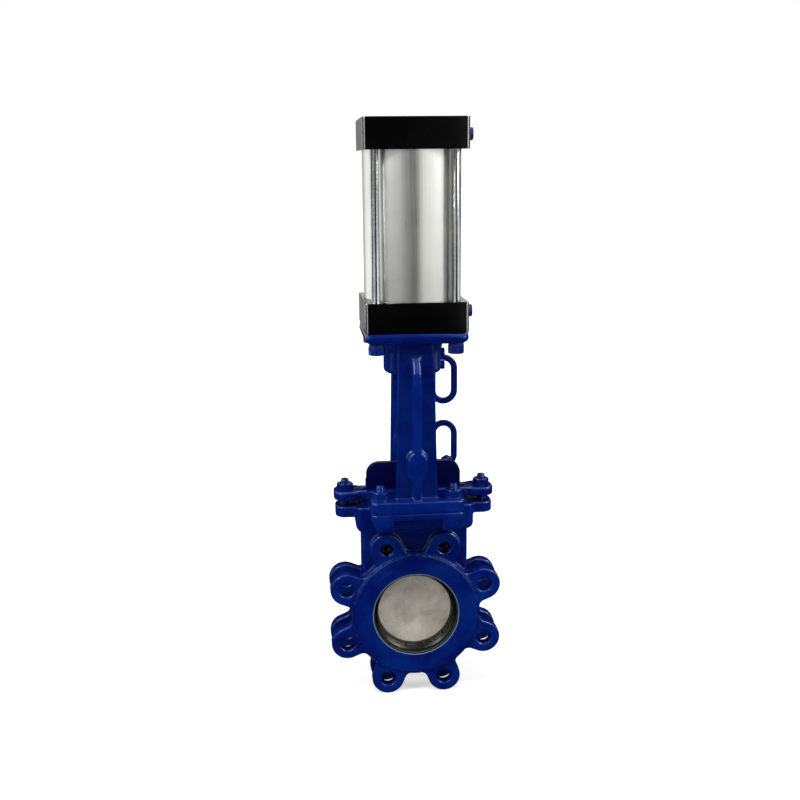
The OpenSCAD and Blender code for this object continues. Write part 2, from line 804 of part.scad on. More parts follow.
// Cast yoke: two ribbed legs on feet, the hub round the stem and the cylinder plate
module yoke() {
    color(paint) at_mid() difference() {
        union() {
            both_y() yoke_leg();
            rotate_extrude() hub_section();
            intersection() {
                xz_prism(-plate_half_w, plate_half_w) plate_profile();
                yz_prism(-plate_half_w, plate_half_w) plate_profile();
                translate([0, 0, plate_low_z]) linear_extrude(plate_t)
                    rounded_rect(-plate_half_w, plate_half_w, -plate_half_w, plate_half_w, plate_corner_r);
            }
        }
        bar(hub_bore_d / 2, hub_low_z - over, plate_top_z + over);
        bar(nose_d / 2 + slide_gap, plate_top_z - nose_recess_l, plate_top_z + over);
        at_tie_rods() bar(stud_d / 2 + stud_gap, plate_low_z - over, plate_top_z + over);
        at_yoke_studs() bar(stud_d / 2 + stud_gap, seat_top_z - over, foot_top_z + over);
        for (z = hub_bolt_z)
            translate([0, 0, z]) rotate([0, 90, 0]) cylinder(r = small_bolt_d / 2 + fit_gap, h = hub_r + over);
        for (z = bracket_bolt_heights())
            translate([bracket_bolt_x, leg_inner_y - over, z]) rotate([-90, 0, 0])
                cylinder(r = small_bolt_d / 2 + fit_gap, h = leg_t + over - 1.5);
    }
}

// Studs that carry the yoke's feet
module yoke_studs() {
    color(paint) at_mid() at_yoke_studs()
        stud(stud_d, seat_low_z + 2, foot_top_z + washer_t + nut_h + yoke_stud_over);
}

// Washers under the yoke nuts
module yoke_washers() {
    color(paint) at_mid() at_yoke_studs() translate([0, 0, foot_top_z]) difference() {
        cylinder(d = washer_d, h = washer_t);
        translate([0, 0, -over]) cylinder(r = stud_d / 2 + slide_gap, h = washer_t + 2 * over);
    }
}

// Nuts on the yoke studs
module yoke_nuts() {
    color(paint) at_mid() at_yoke_studs() translate([0, 0, foot_top_z + washer_t])
        hex_nut(nut_af, nut_h, stud_d / 2 + fit_gap);
}

// Two small bolts in the side of the hub
module hub_bolts() {
    head_x = sqrt(hub_r * hub_r - pow(small_bolt_af / 2, 2));
    color(paint) at_mid() for (z = hub_bolt_z)
        translate([0, 0, z]) rotate([0, 90, 0]) {
            translate([0, 0, hub_r]) rotate(30) hex_blank(small_bolt_af, small_bolt_h, false);
            translate([0, 0, hub_bore_d / 2 + 2]) cylinder(d = small_bolt_d, h = head_x - hub_bore_d / 2);
        }
}

// Heights of the four bolts that hold the two brackets
function bracket_bolt_heights() = [
    for (z = [bracket_low_z, bracket_high_z]) for (s = [-1, 1]) z + s * bracket_bolt_pitch / 2
];

// One slotted plate for a proximity switch, on the inner face of the outlet leg
module switch_bracket(z) {
    tab_half_h = tab_h / 2;
    end_z = slot_l / 2 + slot_rim - bracket_end_r;
    color(paint) at_mid() translate([bracket_x, 0, z]) difference() {
        xz_prism(bracket_in_y, bracket_out_y) {
            stadium(bracket_end_r, slot_l + 2 * slot_rim);
            polygon([
                [tab_x - bracket_x, -tab_half_h], [-bracket_end_r, -tab_half_h],
                [-bracket_end_r * 0.7, -end_z - bracket_end_r * 0.7], [0, -end_z], [0, end_z],
                [-bracket_end_r * 0.7, end_z + bracket_end_r * 0.7], [-bracket_end_r, tab_half_h],
                [tab_x - bracket_x, tab_half_h]
            ]);
        }
        xz_prism(bracket_in_y - over, bracket_out_y + over) stadium(slot_w / 2, slot_l);
        for (s = [-1, 1])
            translate([bracket_bolt_x - bracket_x, bracket_in_y - over, s * bracket_bolt_pitch / 2])
                rotate([-90, 0, 0]) cylinder(r = small_bolt_d / 2 + slide_gap, h = bracket_t + 2 * over);
    }
}

// Bracket for the switch of the open position
module upper_switch_bracket() {
    switch_bracket(bracket_high_z);
}

// Bracket for the switch of the shut position
module lower_switch_bracket() {
    switch_bracket(bracket_low_z);
}

// Bolts that hold the brackets, screwed into the outlet leg from inside the yoke
module bracket_bolts() {
    color(paint) at_mid() for (z = bracket_bolt_heights())
        translate([bracket_bolt_x, bracket_in_y, z]) rotate([-90, 0, 0]) {
            translate([0, 0, -small_bolt_h]) hex_blank(small_bolt_af, small_bolt_h, true, false);
            cylinder(d = small_bolt_d, h = bracket_t + leg_t - 2.5);
        }
}

// What both end caps share, drawn with the tube side up and its face at zero
module cap_blank() {
    difference() {
        union() {
            translate([0, 0, -cap_t]) linear_extrude(cap_t)
                rounded_rect(-cap_half_w, cap_half_w, -cap_half_w, cap_half_w, cap_corner_r);
            bar(tube_in_r - fit_gap, 0, tube_boss_h);
        }
        // seat of the tube
        rotate_extrude() translate([tube_in_r - 2 * fit_gap, -tube_seat_l])
            square([tube_wall + 3 * fit_gap, tube_seat_l + over]);
        // groove of the tube seal
        rotate_extrude() translate([o_groove_r, (tube_boss_h - o_groove_w) / 2]) square([o_ring_r * 2, o_groove_w]);
        // tie rods and the pockets of their nuts
        at_tie_rods() bar(tie_rod_d / 2 + slide_gap, -cap_t - over, over);
        at_tie_rods() bar(nut_pocket_r, -cap_t - over, tie_nut_l - cap_t);
        // air port and the way up into the tube
        translate([cap_half_w - air_port_l, 0, -cap_t / 2]) rotate([0, 90, 0])
            cylinder(r = air_port_r, h = air_port_l + over);
        translate([air_way_x, 0, 0]) bar(air_way_r, -cap_t / 2, tube_boss_h + over);
    }
}

// Bottom cap with the rod bearing and the nose that centres it in the yoke
module bottom_cap() {
    color(black) at_mid() translate([0, 0, low_cap_top_z]) difference() {
        union() {
            cap_blank();
            bar(nose_d / 2, -cap_t - nose_l, -cap_t + over);
        }
        bar(rod_r + stud_gap, -cap_t - nose_l - over, tube_boss_h + over);
        bar(bush_r + fit_gap, -seal_l - bush_l, tube_boss_h + over);
        bar(seal_r + fit_gap, -seal_l, tube_boss_h + over);
        bar(wiper_r + fit_gap, -cap_t - nose_l - over, wiper_l - cap_t - nose_l);
    }
}

// Blind top cap
module top_cap() {
    color(black) at_mid() translate([0, 0, high_cap_z]) rotate([180, 0, 0]) cap_blank();
}

// Plain drawn tube
module cylinder_tube() {
    color(alloy) at_mid() translate([0, 0, low_cap_top_z - tube_seat_l]) difference() {
        cylinder(r = tube_out_r, h = cap_gap + 2 * tube_seat_l, $fn = 120);
        translate([0, 0, -over])
            cylinder(r = tube_in_r, h = cap_gap + 2 * tube_seat_l + 2 * over, $fn = 120);
    }
}

// Round rubber rings that seal the tube in its caps
module tube_seals() {
    ring_r = o_groove_r + fit_gap + o_ring_r - fit_gap;
    color(rubber) at_mid()
        for (z = [low_cap_top_z + tube_boss_h / 2, high_cap_z - tube_boss_h / 2])
            translate([0, 0, z]) rotate_extrude() translate([ring_r, 0]) circle(o_ring_r - fit_gap);
}

// Four tie rods that clamp the caps on the tube
module tie_rods() {
    color(steel) at_mid() at_tie_rods()
        stud(tie_rod_d, low_cap_z + tie_nut_l / 2 + 0.5, high_cap_top_z - tie_nut_l / 2);
}

// Sleeve nuts, sunk in the caps and threaded on for the mounting bolts
module tie_rod_nuts() {
    color(steel) at_mid() at_tie_rods() {
        translate([0, 0, low_cap_z]) difference() {
            cylinder(d = tie_nut_d, h = tie_nut_l - fit_gap);
            translate([0, 0, -over]) cylinder(r = tie_rod_d / 2 + fit_gap, h = tie_nut_l + 2 * over);
        }
        translate([0, 0, high_cap_top_z - tie_nut_l + fit_gap]) difference() {
            cylinder(d = tie_nut_d, h = tie_nut_l - fit_gap);
            translate([0, 0, -over])
                cylinder(r = tie_rod_d / 2 + fit_gap, h = tie_nut_l / 2 + over - fit_gap + slide_gap);
            cylinder(d = tie_thread_d, h = tie_nut_l + over);
        }
    }
}

// Bolts through the yoke plate into the lower sleeve nuts
module cylinder_bolts() {
    head_z = plate_low_z - washer_t;
    color(paint) at_mid() at_tie_rods() {
        translate([0, 0, head_z - cylinder_bolt_h])
            rotate(15) hex_blank(cylinder_bolt_af, cylinder_bolt_h, true, false);
        bar(tie_rod_d / 2, head_z, low_cap_z + tie_nut_l / 2);
    }
}

// Spring washers under the cylinder bolts
module cylinder_washers() {
    color(paint) at_mid() at_tie_rods() translate([0, 0, plate_low_z - washer_t]) difference() {
        cylinder(d = cylinder_bolt_af, h = washer_t);
        translate([0, 0, -over]) cylinder(r = tie_rod_d / 2 + slide_gap, h = washer_t + 2 * over);
    }
}

// A ring between two radii and two heights
module ring(in_r, out_r, z0, z1) {
    difference() {
        bar(out_r, z0, z1);
        bar(in_r, z0 - over, z1 + over);
    }
}

// Bronze bush that carries the piston rod
module rod_bush() {
    top_z = low_cap_top_z - seal_l;
    color(bronze) at_mid() ring(rod_r + fit_gap, bush_r, top_z - bush_l, top_z);
}

// Pressure seal above the bush
module rod_seal() {
    color(rubber) at_mid() ring(rod_r + fit_gap, seal_r, low_cap_top_z - seal_l, low_cap_top_z);
}

// Wiper in the mouth of the nose
module rod_wiper() {
    nose_z = low_cap_z - nose_l;
    color(rubber) at_mid() difference() {
        union() {
            bar(wiper_r, nose_z, nose_z + wiper_l);
            translate([0, 0, nose_z - 0.3]) cylinder(r1 = rod_r + 1.4, r2 = rod_r + 2, h = 0.3);
        }
        bar(rod_r + fit_gap, nose_z - over, nose_z + wiper_l + over);
    }
}

// A push-in dust plug in the side of a cap
module port_plug(z) {
    neck_r = air_port_r - fit_gap;
    color(paint) at_mid() translate([cap_half_w, 0, z]) rotate([0, 90, 0]) {
        bar(neck_r, -plug_depth, 0);
        bar(neck_r * 0.85, 0, plug_neck_l);
        translate([0, 0, plug_neck_l]) rotate_extrude() {
            square([plug_cap_d / 2 - 1, plug_cap_t]);
            translate([0, 1]) square([plug_cap_d / 2, plug_cap_t - 2]);
            for (y = [1, plug_cap_t - 1])
                translate([plug_cap_d / 2 - 1, y]) circle(1);
        }
    }
}

// Dust plug of the top cap
module upper_port_plug() {
    port_plug(high_cap_z + cap_t / 2);
}

// Dust plug of the bottom cap
module lower_port_plug() {
    port_plug(low_cap_top_z - cap_t / 2);
}

// Gate plate with a round bevelled lower edge and two round top corners
module knife_gate() {
    color(stainless) at_mid() difference() {
        xz_prism(-gate_half_t, gate_half_t) {
            circle(gate_r, $fn = 120);
            translate([-gate_r, 0]) square([gate_w, gate_top_z - gate_corner_r]);
            translate([gate_corner_r - gate_r, 0]) square([gate_w - 2 * gate_corner_r, gate_top_z]);
            for (s = [-1, 1])
                translate([s * (gate_r - gate_corner_r), gate_top_z - gate_corner_r]) circle(gate_corner_r);
        }
        // bevel of the cutting edge, on the outlet face
        difference() {
            translate([-gate_w, gate_half_t - gate_bevel, -gate_w])
                cube([2 * gate_w, gate_bevel + over, gate_w]);
            translate([0, gate_half_t - gate_bevel - over, 0]) rotate([-90, 0, 0])
                cylinder(r1 = gate_r + over, r2 = gate_r - gate_bevel - over, h = gate_bevel + 2 * over, $fn = 120);
        }
        clevis_bolt_holes(clevis_bolt_d / 2 + fit_gap);
        translate([target_x, gate_half_t - target_hole_l, target_z]) rotate([-90, 0, 0])
            cylinder(r = clevis_bolt_d / 2 + fit_gap, h = gate_t);
    }
}

// Bolt screwed into the back of the gate, which the switches sense at both ends of the travel
module target_bolt() {
    color(steel) at_mid() translate([target_x, gate_half_t, target_z]) rotate([-90, 0, 0]) {
        translate([0, 0, target_reach - clevis_head_h])
            rotate(30) hex_blank(clevis_bolt_af, clevis_head_h, false, true);
        translate([0, 0, 0.5 - target_hole_l])
            cylinder(d = clevis_bolt_d, h = target_reach - clevis_head_h + target_hole_l);
    }
}

// Nut that locks the switch target on the gate
module target_nut() {
    color(steel) at_mid() translate([target_x, gate_half_t, target_z]) rotate([-90, 0, 0])
        rotate(30) hex_nut(clevis_bolt_af, clevis_nut_h, clevis_bolt_d / 2 + fit_gap);
}

// Cross holes for the clevis bolts
module clevis_bolt_holes(r) {
    for (s = [-1, 1])
        translate([s * clevis_bolt_pitch / 2, -clevis_t, clevis_bolt_z]) rotate([-90, 0, 0])
            cylinder(r = r, h = 2 * clevis_t);
}

// Forged clevis that joins the gate to the piston rod
module gate_clevis() {
    shoulder_r = lock_nut_af / 2 + 1.5;
    shoulder_h = 8;
    color(steel) at_mid() difference() {
        union() {
            translate([0, 0, clevis_low_z]) linear_extrude(clevis_top_z - clevis_low_z - shoulder_h)
                rounded_rect(-clevis_w / 2, clevis_w / 2, -clevis_t / 2, clevis_t / 2, 3);
            intersection() {
                bar(shoulder_r, clevis_top_z - shoulder_h - over, clevis_top_z);
                translate([-clevis_w / 2, -clevis_t / 2, clevis_low_z])
                    cube([clevis_w, clevis_t, clevis_top_z - clevis_low_z]);
            }
        }
        translate([-clevis_w, -gate_half_t - fit_gap, clevis_low_z - over])
            cube([2 * clevis_w, gate_t + 2 * fit_gap, clevis_grip + over + fit_gap]);
        bar(rod_thread_r + fit_gap, stem_low_z - 1, clevis_top_z + over);
        clevis_bolt_holes(clevis_bolt_d / 2 + fit_gap);
    }
}

// Two cross bolts through the clevis and the gate
module clevis_bolts() {
    color(steel) at_mid() for (s = [-1, 1])
        translate([s * clevis_bolt_pitch / 2, -clevis_t / 2, clevis_bolt_z]) rotate([-90, 0, 0]) {
            translate([0, 0, -clevis_head_h]) hex_blank(clevis_bolt_af, clevis_head_h, true, false);
            cylinder(d = clevis_bolt_d, h = clevis_t + clevis_nut_h - 0.5);
        }
}

// Nuts of the clevis bolts
module clevis_nuts() {
    color(steel) at_mid() for (s = [-1, 1])
        translate([s * clevis_bolt_pitch / 2, clevis_t / 2, clevis_bolt_z]) rotate([-90, 0, 0])
            hex_nut(clevis_bolt_af, clevis_nut_h, clevis_bolt_d / 2 + fit_gap);
}

// Ground rod between the clevis and the piston, with both ends turned down
module piston_rod() {
    color(steel) at_mid() {
        bar(rod_thread_r, stem_low_z, lock_nut_top_z + 2);
        bar(rod_r, lock_nut_top_z + 2, piston_low_z);
        bar(rod_thread_r, piston_low_z, piston_top_z - piston_nut_sink + piston_nut_h + 2);
    }
}

// Thin lock nut that keeps the clevis tight on the rod
module lock_nut() {
    color(steel) at_mid() translate([0, 0, lock_nut_low_z])
        hex_nut(lock_nut_af, lock_nut_h, rod_thread_r + fit_gap);
}

// Piston with two seal grooves, a wear ring groove and a pocket for its nut
module piston() {
    color(alloy) at_mid() difference() {
        bar(piston_r, piston_low_z, piston_top_z);
        bar(rod_thread_r + fit_gap, piston_low_z - over, piston_top_z + over);
        bar(piston_nut_af / 2 / cos(30) + 1, piston_top_z - piston_nut_sink, piston_top_z + over);
        for (z = piston_seal_heights())
            ring(piston_groove_r, piston_r + over, z, z + piston_seal_l);
        ring(tube_in_r - slide_gap - wear_ring_t, piston_r + over, wear_ring_z(), wear_ring_z() + wear_ring_l);
    }
}

// Heights of the lower edges of the two piston seals
function piston_seal_heights() = [piston_low_z + 4, piston_top_z - 4 - piston_seal_l];

// Height of the lower edge of the wear ring
function wear_ring_z() = (piston_low_z + piston_top_z - wear_ring_l) / 2;

// Two lip seals on the piston
module piston_seals() {
    color(rubber) at_mid() for (z = piston_seal_heights())
        ring(piston_groove_r + fit_gap, tube_in_r - fit_gap, z + fit_gap, z + piston_seal_l - fit_gap);
}

// Wear ring that carries the piston in the tube
module piston_wear_ring() {
    in_r = tube_in_r - slide_gap - wear_ring_t + fit_gap;
    color(polymer) at_mid()
        ring(in_r, tube_in_r - fit_gap, wear_ring_z() + fit_gap, wear_ring_z() + wear_ring_l - fit_gap);
}

// Nut that holds the piston on the rod
module piston_nut() {
    color(steel) at_mid() translate([0, 0, piston_top_z - piston_nut_sink])
        hex_nut(piston_nut_af, piston_nut_h, rod_thread_r + fit_gap);
}

body_casting();
seat_ring();
seat_rubber();
gate_guides();
packing_rings();
gland_follower();
gland_studs();
gland_nuts();
yoke();
yoke_studs();
yoke_washers();
yoke_nuts();
hub_bolts();
upper_switch_bracket();
lower_switch_bracket();
bracket_bolts();
bottom_cap();
top_cap();
cylinder_tube();
tube_seals();
tie_rods();
tie_rod_nuts();
cylinder_bolts();
cylinder_washers();
rod_bush();
rod_seal();
rod_wiper();
upper_port_plug();
lower_port_plug();
knife_gate();
target_bolt();
target_nut();
gate_clevis();
clevis_bolts();
clevis_nuts();
piston_rod();
lock_nut();
piston();
piston_seals();
piston_wear_ring();
piston_nut();
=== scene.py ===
import json
import math

import bpy
from mathutils import Matrix, Vector
from mathutils.bvhtree import BVHTree

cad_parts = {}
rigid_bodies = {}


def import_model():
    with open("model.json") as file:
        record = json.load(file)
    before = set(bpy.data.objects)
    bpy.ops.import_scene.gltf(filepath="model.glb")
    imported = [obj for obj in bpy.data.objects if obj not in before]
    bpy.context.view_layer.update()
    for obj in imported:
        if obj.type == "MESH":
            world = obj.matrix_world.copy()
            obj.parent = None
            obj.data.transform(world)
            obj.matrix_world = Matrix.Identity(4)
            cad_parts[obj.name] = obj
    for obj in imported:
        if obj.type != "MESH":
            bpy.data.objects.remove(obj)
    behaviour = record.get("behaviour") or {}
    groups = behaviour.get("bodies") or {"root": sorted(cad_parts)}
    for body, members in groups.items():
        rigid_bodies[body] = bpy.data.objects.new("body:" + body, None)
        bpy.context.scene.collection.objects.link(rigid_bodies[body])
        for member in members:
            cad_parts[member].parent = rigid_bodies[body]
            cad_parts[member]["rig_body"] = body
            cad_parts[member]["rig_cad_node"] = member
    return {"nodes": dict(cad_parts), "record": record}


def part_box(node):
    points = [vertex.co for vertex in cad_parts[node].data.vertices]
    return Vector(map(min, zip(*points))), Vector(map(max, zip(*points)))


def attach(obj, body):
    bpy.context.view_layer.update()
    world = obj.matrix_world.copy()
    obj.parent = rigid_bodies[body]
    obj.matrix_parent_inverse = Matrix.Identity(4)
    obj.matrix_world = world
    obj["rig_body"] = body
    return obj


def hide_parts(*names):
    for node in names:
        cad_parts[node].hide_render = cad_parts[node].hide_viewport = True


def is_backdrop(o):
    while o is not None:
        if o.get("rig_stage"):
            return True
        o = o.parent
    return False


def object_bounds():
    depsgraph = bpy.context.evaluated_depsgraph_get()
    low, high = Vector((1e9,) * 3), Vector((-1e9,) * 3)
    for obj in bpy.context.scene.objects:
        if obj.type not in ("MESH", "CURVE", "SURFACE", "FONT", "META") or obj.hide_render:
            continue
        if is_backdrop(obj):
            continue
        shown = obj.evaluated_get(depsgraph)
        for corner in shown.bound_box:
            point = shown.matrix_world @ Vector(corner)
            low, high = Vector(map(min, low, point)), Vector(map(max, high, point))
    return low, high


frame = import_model()
nodes = frame["nodes"]
record = frame["record"]
bodyOf = {n: b for b, names in record["behaviour"]["bodies"].items() for n in names}
slotOf = {s["node"]: s["material_slot"] for s in record["subparts"]}
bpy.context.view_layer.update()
mm = 0.001
midPlane = 26 * mm  # the middle of the body, from the inlet face
print("frame loaded,", len(nodes), "nodes")

# the photo's own perspective: place and sensor in millimetres, angles in radians, focal length
# and shift in pixels of the picture
cameraView = {"place": (-130.386, -1179.39, 524.67), "pitch": 0.24353, "yaw": -0.09536,
              "roll": -0.00986, "focal": 1059.21, "shiftDown": 30.02, "picture": 800,
              "sensor": 36, "near": 0.01, "far": 60}


def placeCamera(view):
    yaw, pitch, roll = view["yaw"], view["pitch"], view["roll"]
    forward = Vector((-math.sin(yaw) * math.cos(pitch), math.cos(yaw) * math.cos(pitch),
                      -math.sin(pitch)))
    side = Vector((math.cos(yaw), math.sin(yaw), 0))
    top = side.cross(forward)
    right = side * math.cos(roll) + top * math.sin(roll)
    up = top * math.cos(roll) - side * math.sin(roll)
    turn = Matrix((right, up, -forward)).transposed().to_4x4()
    bpy.ops.object.camera_add()
    cam = bpy.context.object
    cam.name = "photoCamera"
    cam.matrix_world = Matrix.Translation(Vector(view["place"]) * mm) @ turn
    cam.data.sensor_width = view["sensor"]
    cam.data.lens = view["focal"] / view["picture"] * view["sensor"]
    cam.data.shift_y = view["shiftDown"] / view["picture"]
    cam.data.clip_start = view["near"]
    cam.data.clip_end = view["far"]
    bpy.context.scene.camera = cam


placeCamera(cameraView)


def deselectAll():
    bpy.ops.object.select_all(action="DESELECT")


def pickOnly(obj):
    deselectAll()
    obj.select_set(True)
    bpy.context.view_layer.objects.active = obj


def settle(obj):
    # the finished piece's place goes into its mesh
    pickOnly(obj)
    bpy.ops.object.transform_apply(location=True, rotation=True, scale=True)


def applyModifiers(obj):
    pickOnly(obj)
    for m in list(obj.modifiers):
        bpy.ops.object.modifier_apply(modifier=m.name)


def dress(obj, material):
    obj.data.materials.clear()
    obj.data.materials.append(material)


# shader nodes are placed and linked by the small functions below
def newGroup(name, inputs, outputs):
    # inputs have a starting value each; the output called Normal is a vector, others are numbers
    tree = bpy.data.node_groups.new(name, "ShaderNodeTree")
    for label, value in inputs.items():
        kind = "NodeSocketVector" if isinstance(value, tuple) else "NodeSocketFloat"
        socket = tree.interface.new_socket(name=label, in_out="INPUT", socket_type=kind)
        socket.default_value = value
    for label in outputs:
        kind = "NodeSocketVector" if label == "Normal" else "NodeSocketFloat"
        tree.interface.new_socket(name=label, in_out="OUTPUT", socket_type=kind)
    start = tree.nodes.new("NodeGroupInput")
    end = tree.nodes.new("NodeGroupOutput")
    return tree, start.outputs, end.inputs


def put(tree, kind, values=None, **props):
    n = tree.nodes.new(kind)
    for k, v in props.items():
        setattr(n, k, v)
    for k, v in (values or {}).items():
        if isinstance(v, bpy.types.NodeSocket):
            tree.links.new(v, n.inputs[k])
        else:
            n.inputs[k].default_value = v
    return n


def feed(tree, target, sources):
    for name, source in sources.items():
        tree.links.new(source, target[name])


def mathNode(tree, operation, a, b=0.0, clamp=False):
    return put(tree, "ShaderNodeMath", {0: a, 1: b}, operation=operation,
               use_clamp=clamp).outputs[0]


def plus(tree, a, b):
    return mathNode(tree, "ADD", a, b)


def minus(tree, a, b):
    return mathNode(tree, "SUBTRACT", a, b)


def times(tree, a, b):
    return mathNode(tree, "MULTIPLY", a, b)


def isOver(tree, a, b):
    return mathNode(tree, "GREATER_THAN", a, b)


def isUnder(tree, a, b):
    return mathNode(tree, "LESS_THAN", a, b)


def ramp(tree, value, low, high, outLow=0.0, outHigh=1.0):
    return put(tree, "ShaderNodeMapRange", {"Value": value, "From Min": low, "From Max": high,
                                            "To Min": outLow, "To Max": outHigh},
               interpolation_type="SMOOTHSTEP").outputs["Result"]


# a Mix node has its two colours on sockets 6 and 7, and its two numbers on sockets 2 and 3
def mixColour(tree, factor, a, b):
    return put(tree, "ShaderNodeMix", {0: factor, 6: a, 7: b}, data_type="RGBA").outputs[2]


def mixValue(tree, factor, a, b):
    return put(tree, "ShaderNodeMix", {0: factor, 2: a, 3: b}, data_type="FLOAT").outputs[0]


def objectCoords(tree):
    return put(tree, "ShaderNodeTexCoord").outputs["Object"]


def scaled(tree, coords, scale):
    return put(tree, "ShaderNodeMapping", {"Vector": coords, "Scale": scale}).outputs[0]


def split(tree, vector):
    return put(tree, "ShaderNodeSeparateXYZ", {"Vector": vector}).outputs


def joined(tree, parts):
    return put(tree, "ShaderNodeCombineXYZ", parts).outputs[0]


def lengthOf(tree, vector):
    return put(tree, "ShaderNodeVectorMath", {0: vector}, operation="LENGTH").outputs["Value"]


def noise(tree, coords, scale, detail=3.0, roughness=0.6, distortion=0.0):
    return put(tree, "ShaderNodeTexNoise", {"Vector": coords, "Scale": scale, "Detail": detail,
                                            "Roughness": roughness,
                                            "Distortion": distortion}).outputs["Fac"]


def roundedNormal(tree, radius, samples):
    return put(tree, "ShaderNodeBevel", {"Radius": radius}, samples=samples).outputs[0]


def bumpOn(tree, height, distance, normal=None):
    values = {"Height": height, "Distance": distance, "Strength": 1.0}
    if normal is not None:
        values["Normal"] = normal
    return put(tree, "ShaderNodeBump", values).outputs[0]


# turned: how far the surface turns where the lighter edge, part wear and part painted highlight,
# starts and where it is full; speckle: the part of the grain that shows; corner: nx * ny on the
# rounding of an upright corner
edgeWearAndHighlight = {"turned": (0.03, 0.2), "speckle": (0.45, 0.62), "corner": (0.14, 0.43), "samples": 6}


def edgeGroup(look):
    # Mask is broken wear along rounded edges, lighter there as wear and painted highlight;
    # Upright a whole line on upright corners
    tree, src, out = newGroup("edgeMask", {"Radius": 0.0015, "Break": 300.0}, ["Mask", "Upright"])
    rounded = roundedNormal(tree, src["Radius"], look["samples"])
    plain = put(tree, "ShaderNodeNewGeometry").outputs["Normal"]
    facing = split(tree, plain)
    corner = mathNode(tree, "ABSOLUTE", times(tree, facing["X"], facing["Y"]))
    dot = put(tree, "ShaderNodeVectorMath", {0: rounded, 1: plain},
              operation="DOT_PRODUCT").outputs["Value"]
    wornHighlight = ramp(tree, minus(tree, 1.0, dot), *look["turned"])
    speckle = noise(tree, objectCoords(tree), src["Break"], detail=4.0, roughness=0.65)
    low, high = look["corner"]
    feed(tree, out, {"Mask": times(tree, wornHighlight, ramp(tree, speckle, *look["speckle"])),
                     "Upright": times(tree, isOver(tree, corner, low),
                                      isUnder(tree, corner, high))})
    return tree


# heights are shares of the group's own height; the scales say how many fit into a metre
castSkin = {"fine": 0.55, "waves": 0.9, "waveScale": 70.0, "pits": 0.35, "pitScale": 330.0,
            "pitSize": 0.16, "toneScale": 22.0, "samples": 6}


def castGroup(look):
    # sand-cast skin under thick paint: slow waves, fine grain and a few pits
    tree, src, out = newGroup("castSkin", {"Grain": 700.0, "Height": 0.00012, "Radius": 0.002},
                              ["Normal", "Tone", "Fine"])
    coords = objectCoords(tree)
    fine = noise(tree, coords, src["Grain"])
    waves = noise(tree, coords, look["waveScale"], detail=2.0, roughness=0.5)
    pits = put(tree, "ShaderNodeTexVoronoi", {"Vector": coords, "Scale": look["pitScale"],
                                              "Randomness": 1.0}).outputs["Distance"]
    height = plus(tree, times(tree, fine, look["fine"]), times(tree, waves, look["waves"]))
    height = plus(tree, height, times(tree, ramp(tree, pits, 0.0, look["pitSize"]), look["pits"]))
    rounded = roundedNormal(tree, src["Radius"], look["samples"])
    feed(tree, out, {"Normal": bumpOn(tree, height, src["Height"], rounded),
                     "Tone": noise(tree, coords, look["toneScale"]),
                     "Fine": fine})
    return tree


brushedSkin = {"toneScale": 28.0, "samples": 4}


def brushedGroup(look):
    # long fine scratches along one axis of the piece
    tree, src, out = newGroup("brushedMetal", {"Stretch": (900.0, 900.0, 20.0),
                                               "Height": 0.00001, "Radius": 0.0006},
                              ["Normal", "Streak", "Tone"])
    coords = objectCoords(tree)
    streak = noise(tree, scaled(tree, coords, src["Stretch"]), 1.0, detail=4.0)
    rounded = roundedNormal(tree, src["Radius"], look["samples"])
    feed(tree, out, {"Normal": bumpOn(tree, streak, src["Height"], rounded), "Streak": streak,
                     "Tone": noise(tree, coords, look["toneScale"])})
    return tree


# metres from the bore's edge and from the faces; a hole has its radius and how much painted shade
# darkens it inside
portMarks = {"ringsFrom": 0.001, "wallTo": 0.0023, "lipDepth": 0.0016, "wobble": 180.0,
             "tapped": (0.0074, 0.9), "through": (0.0093, 0.55)}


def portGroup(look):
    # lathe rings on the port faces, a pale line on the bore's front rim, and painted shade on the
    # bore's wall and in the bolt holes
    # Far and Near are a bolt hole's two distances from the port's upright and level middle lines
    tree, src, out = newGroup("portMarks", {"Bore": 0.05, "Face": 0.0755, "Pitch": 0.003,
                                            "Middle": 0.026, "Far": 0.08315, "Near": 0.03444},
                              ["Height", "Wall", "Lip", "ShadedHole"])
    coords = objectCoords(tree)
    radius = lengthOf(tree, scaled(tree, coords, (1.0, 0.0, 1.0)))
    place = split(tree, coords)
    depth = mathNode(tree, "ABSOLUTE", minus(tree, place["Y"], src["Middle"]))
    wobble = noise(tree, joined(tree, {"X": radius}), look["wobble"], detail=2.0)
    turns = mathNode(tree, "DIVIDE", radius, src["Pitch"])
    wave = mathNode(tree, "SINE", times(tree, turns, math.tau))
    onFace = times(tree, isOver(tree, radius, plus(tree, src["Bore"], look["ringsFrom"])),
                   isUnder(tree, radius, src["Face"]))
    rings = times(tree, plus(tree, times(tree, wave, 0.5), 0.5), wobble)
    wall = isUnder(tree, radius, plus(tree, src["Bore"], look["wallTo"]))
    nearFace = isOver(tree, depth, minus(tree, src["Middle"], look["lipDepth"]))
    across = mathNode(tree, "ABSOLUTE", place["X"])
    upright = mathNode(tree, "ABSOLUTE", place["Z"])

    def inHole(x, z, size):
        offset = joined(tree, {"X": minus(tree, across, x), "Y": minus(tree, upright, z)})
        return isUnder(tree, lengthOf(tree, offset), size)

    (tappedSize, tappedShade), (throughSize, throughShade) = look["tapped"], look["through"]
    above = isOver(tree, place["Z"], 0.0)
    tapped = times(tree, inHole(src["Near"], src["Far"], tappedSize), above)
    low = times(tree, inHole(src["Near"], src["Far"], throughSize), minus(tree, 1.0, above))
    through = mathNode(tree, "MAXIMUM", inHole(src["Far"], src["Near"], throughSize), low)
    feed(tree, out, {"Height": times(tree, rings, onFace), "Wall": wall,
                     "Lip": times(tree, wall, nearFace),
                     "ShadedHole": plus(tree, times(tree, tapped, tappedShade),
                                  times(tree, through, throughShade))})
    return tree


edgeTree = edgeGroup(edgeWearAndHighlight)
castTree = castGroup(castSkin)
brushedTree = brushedGroup(brushedSkin)
portTree = portGroup(portMarks)


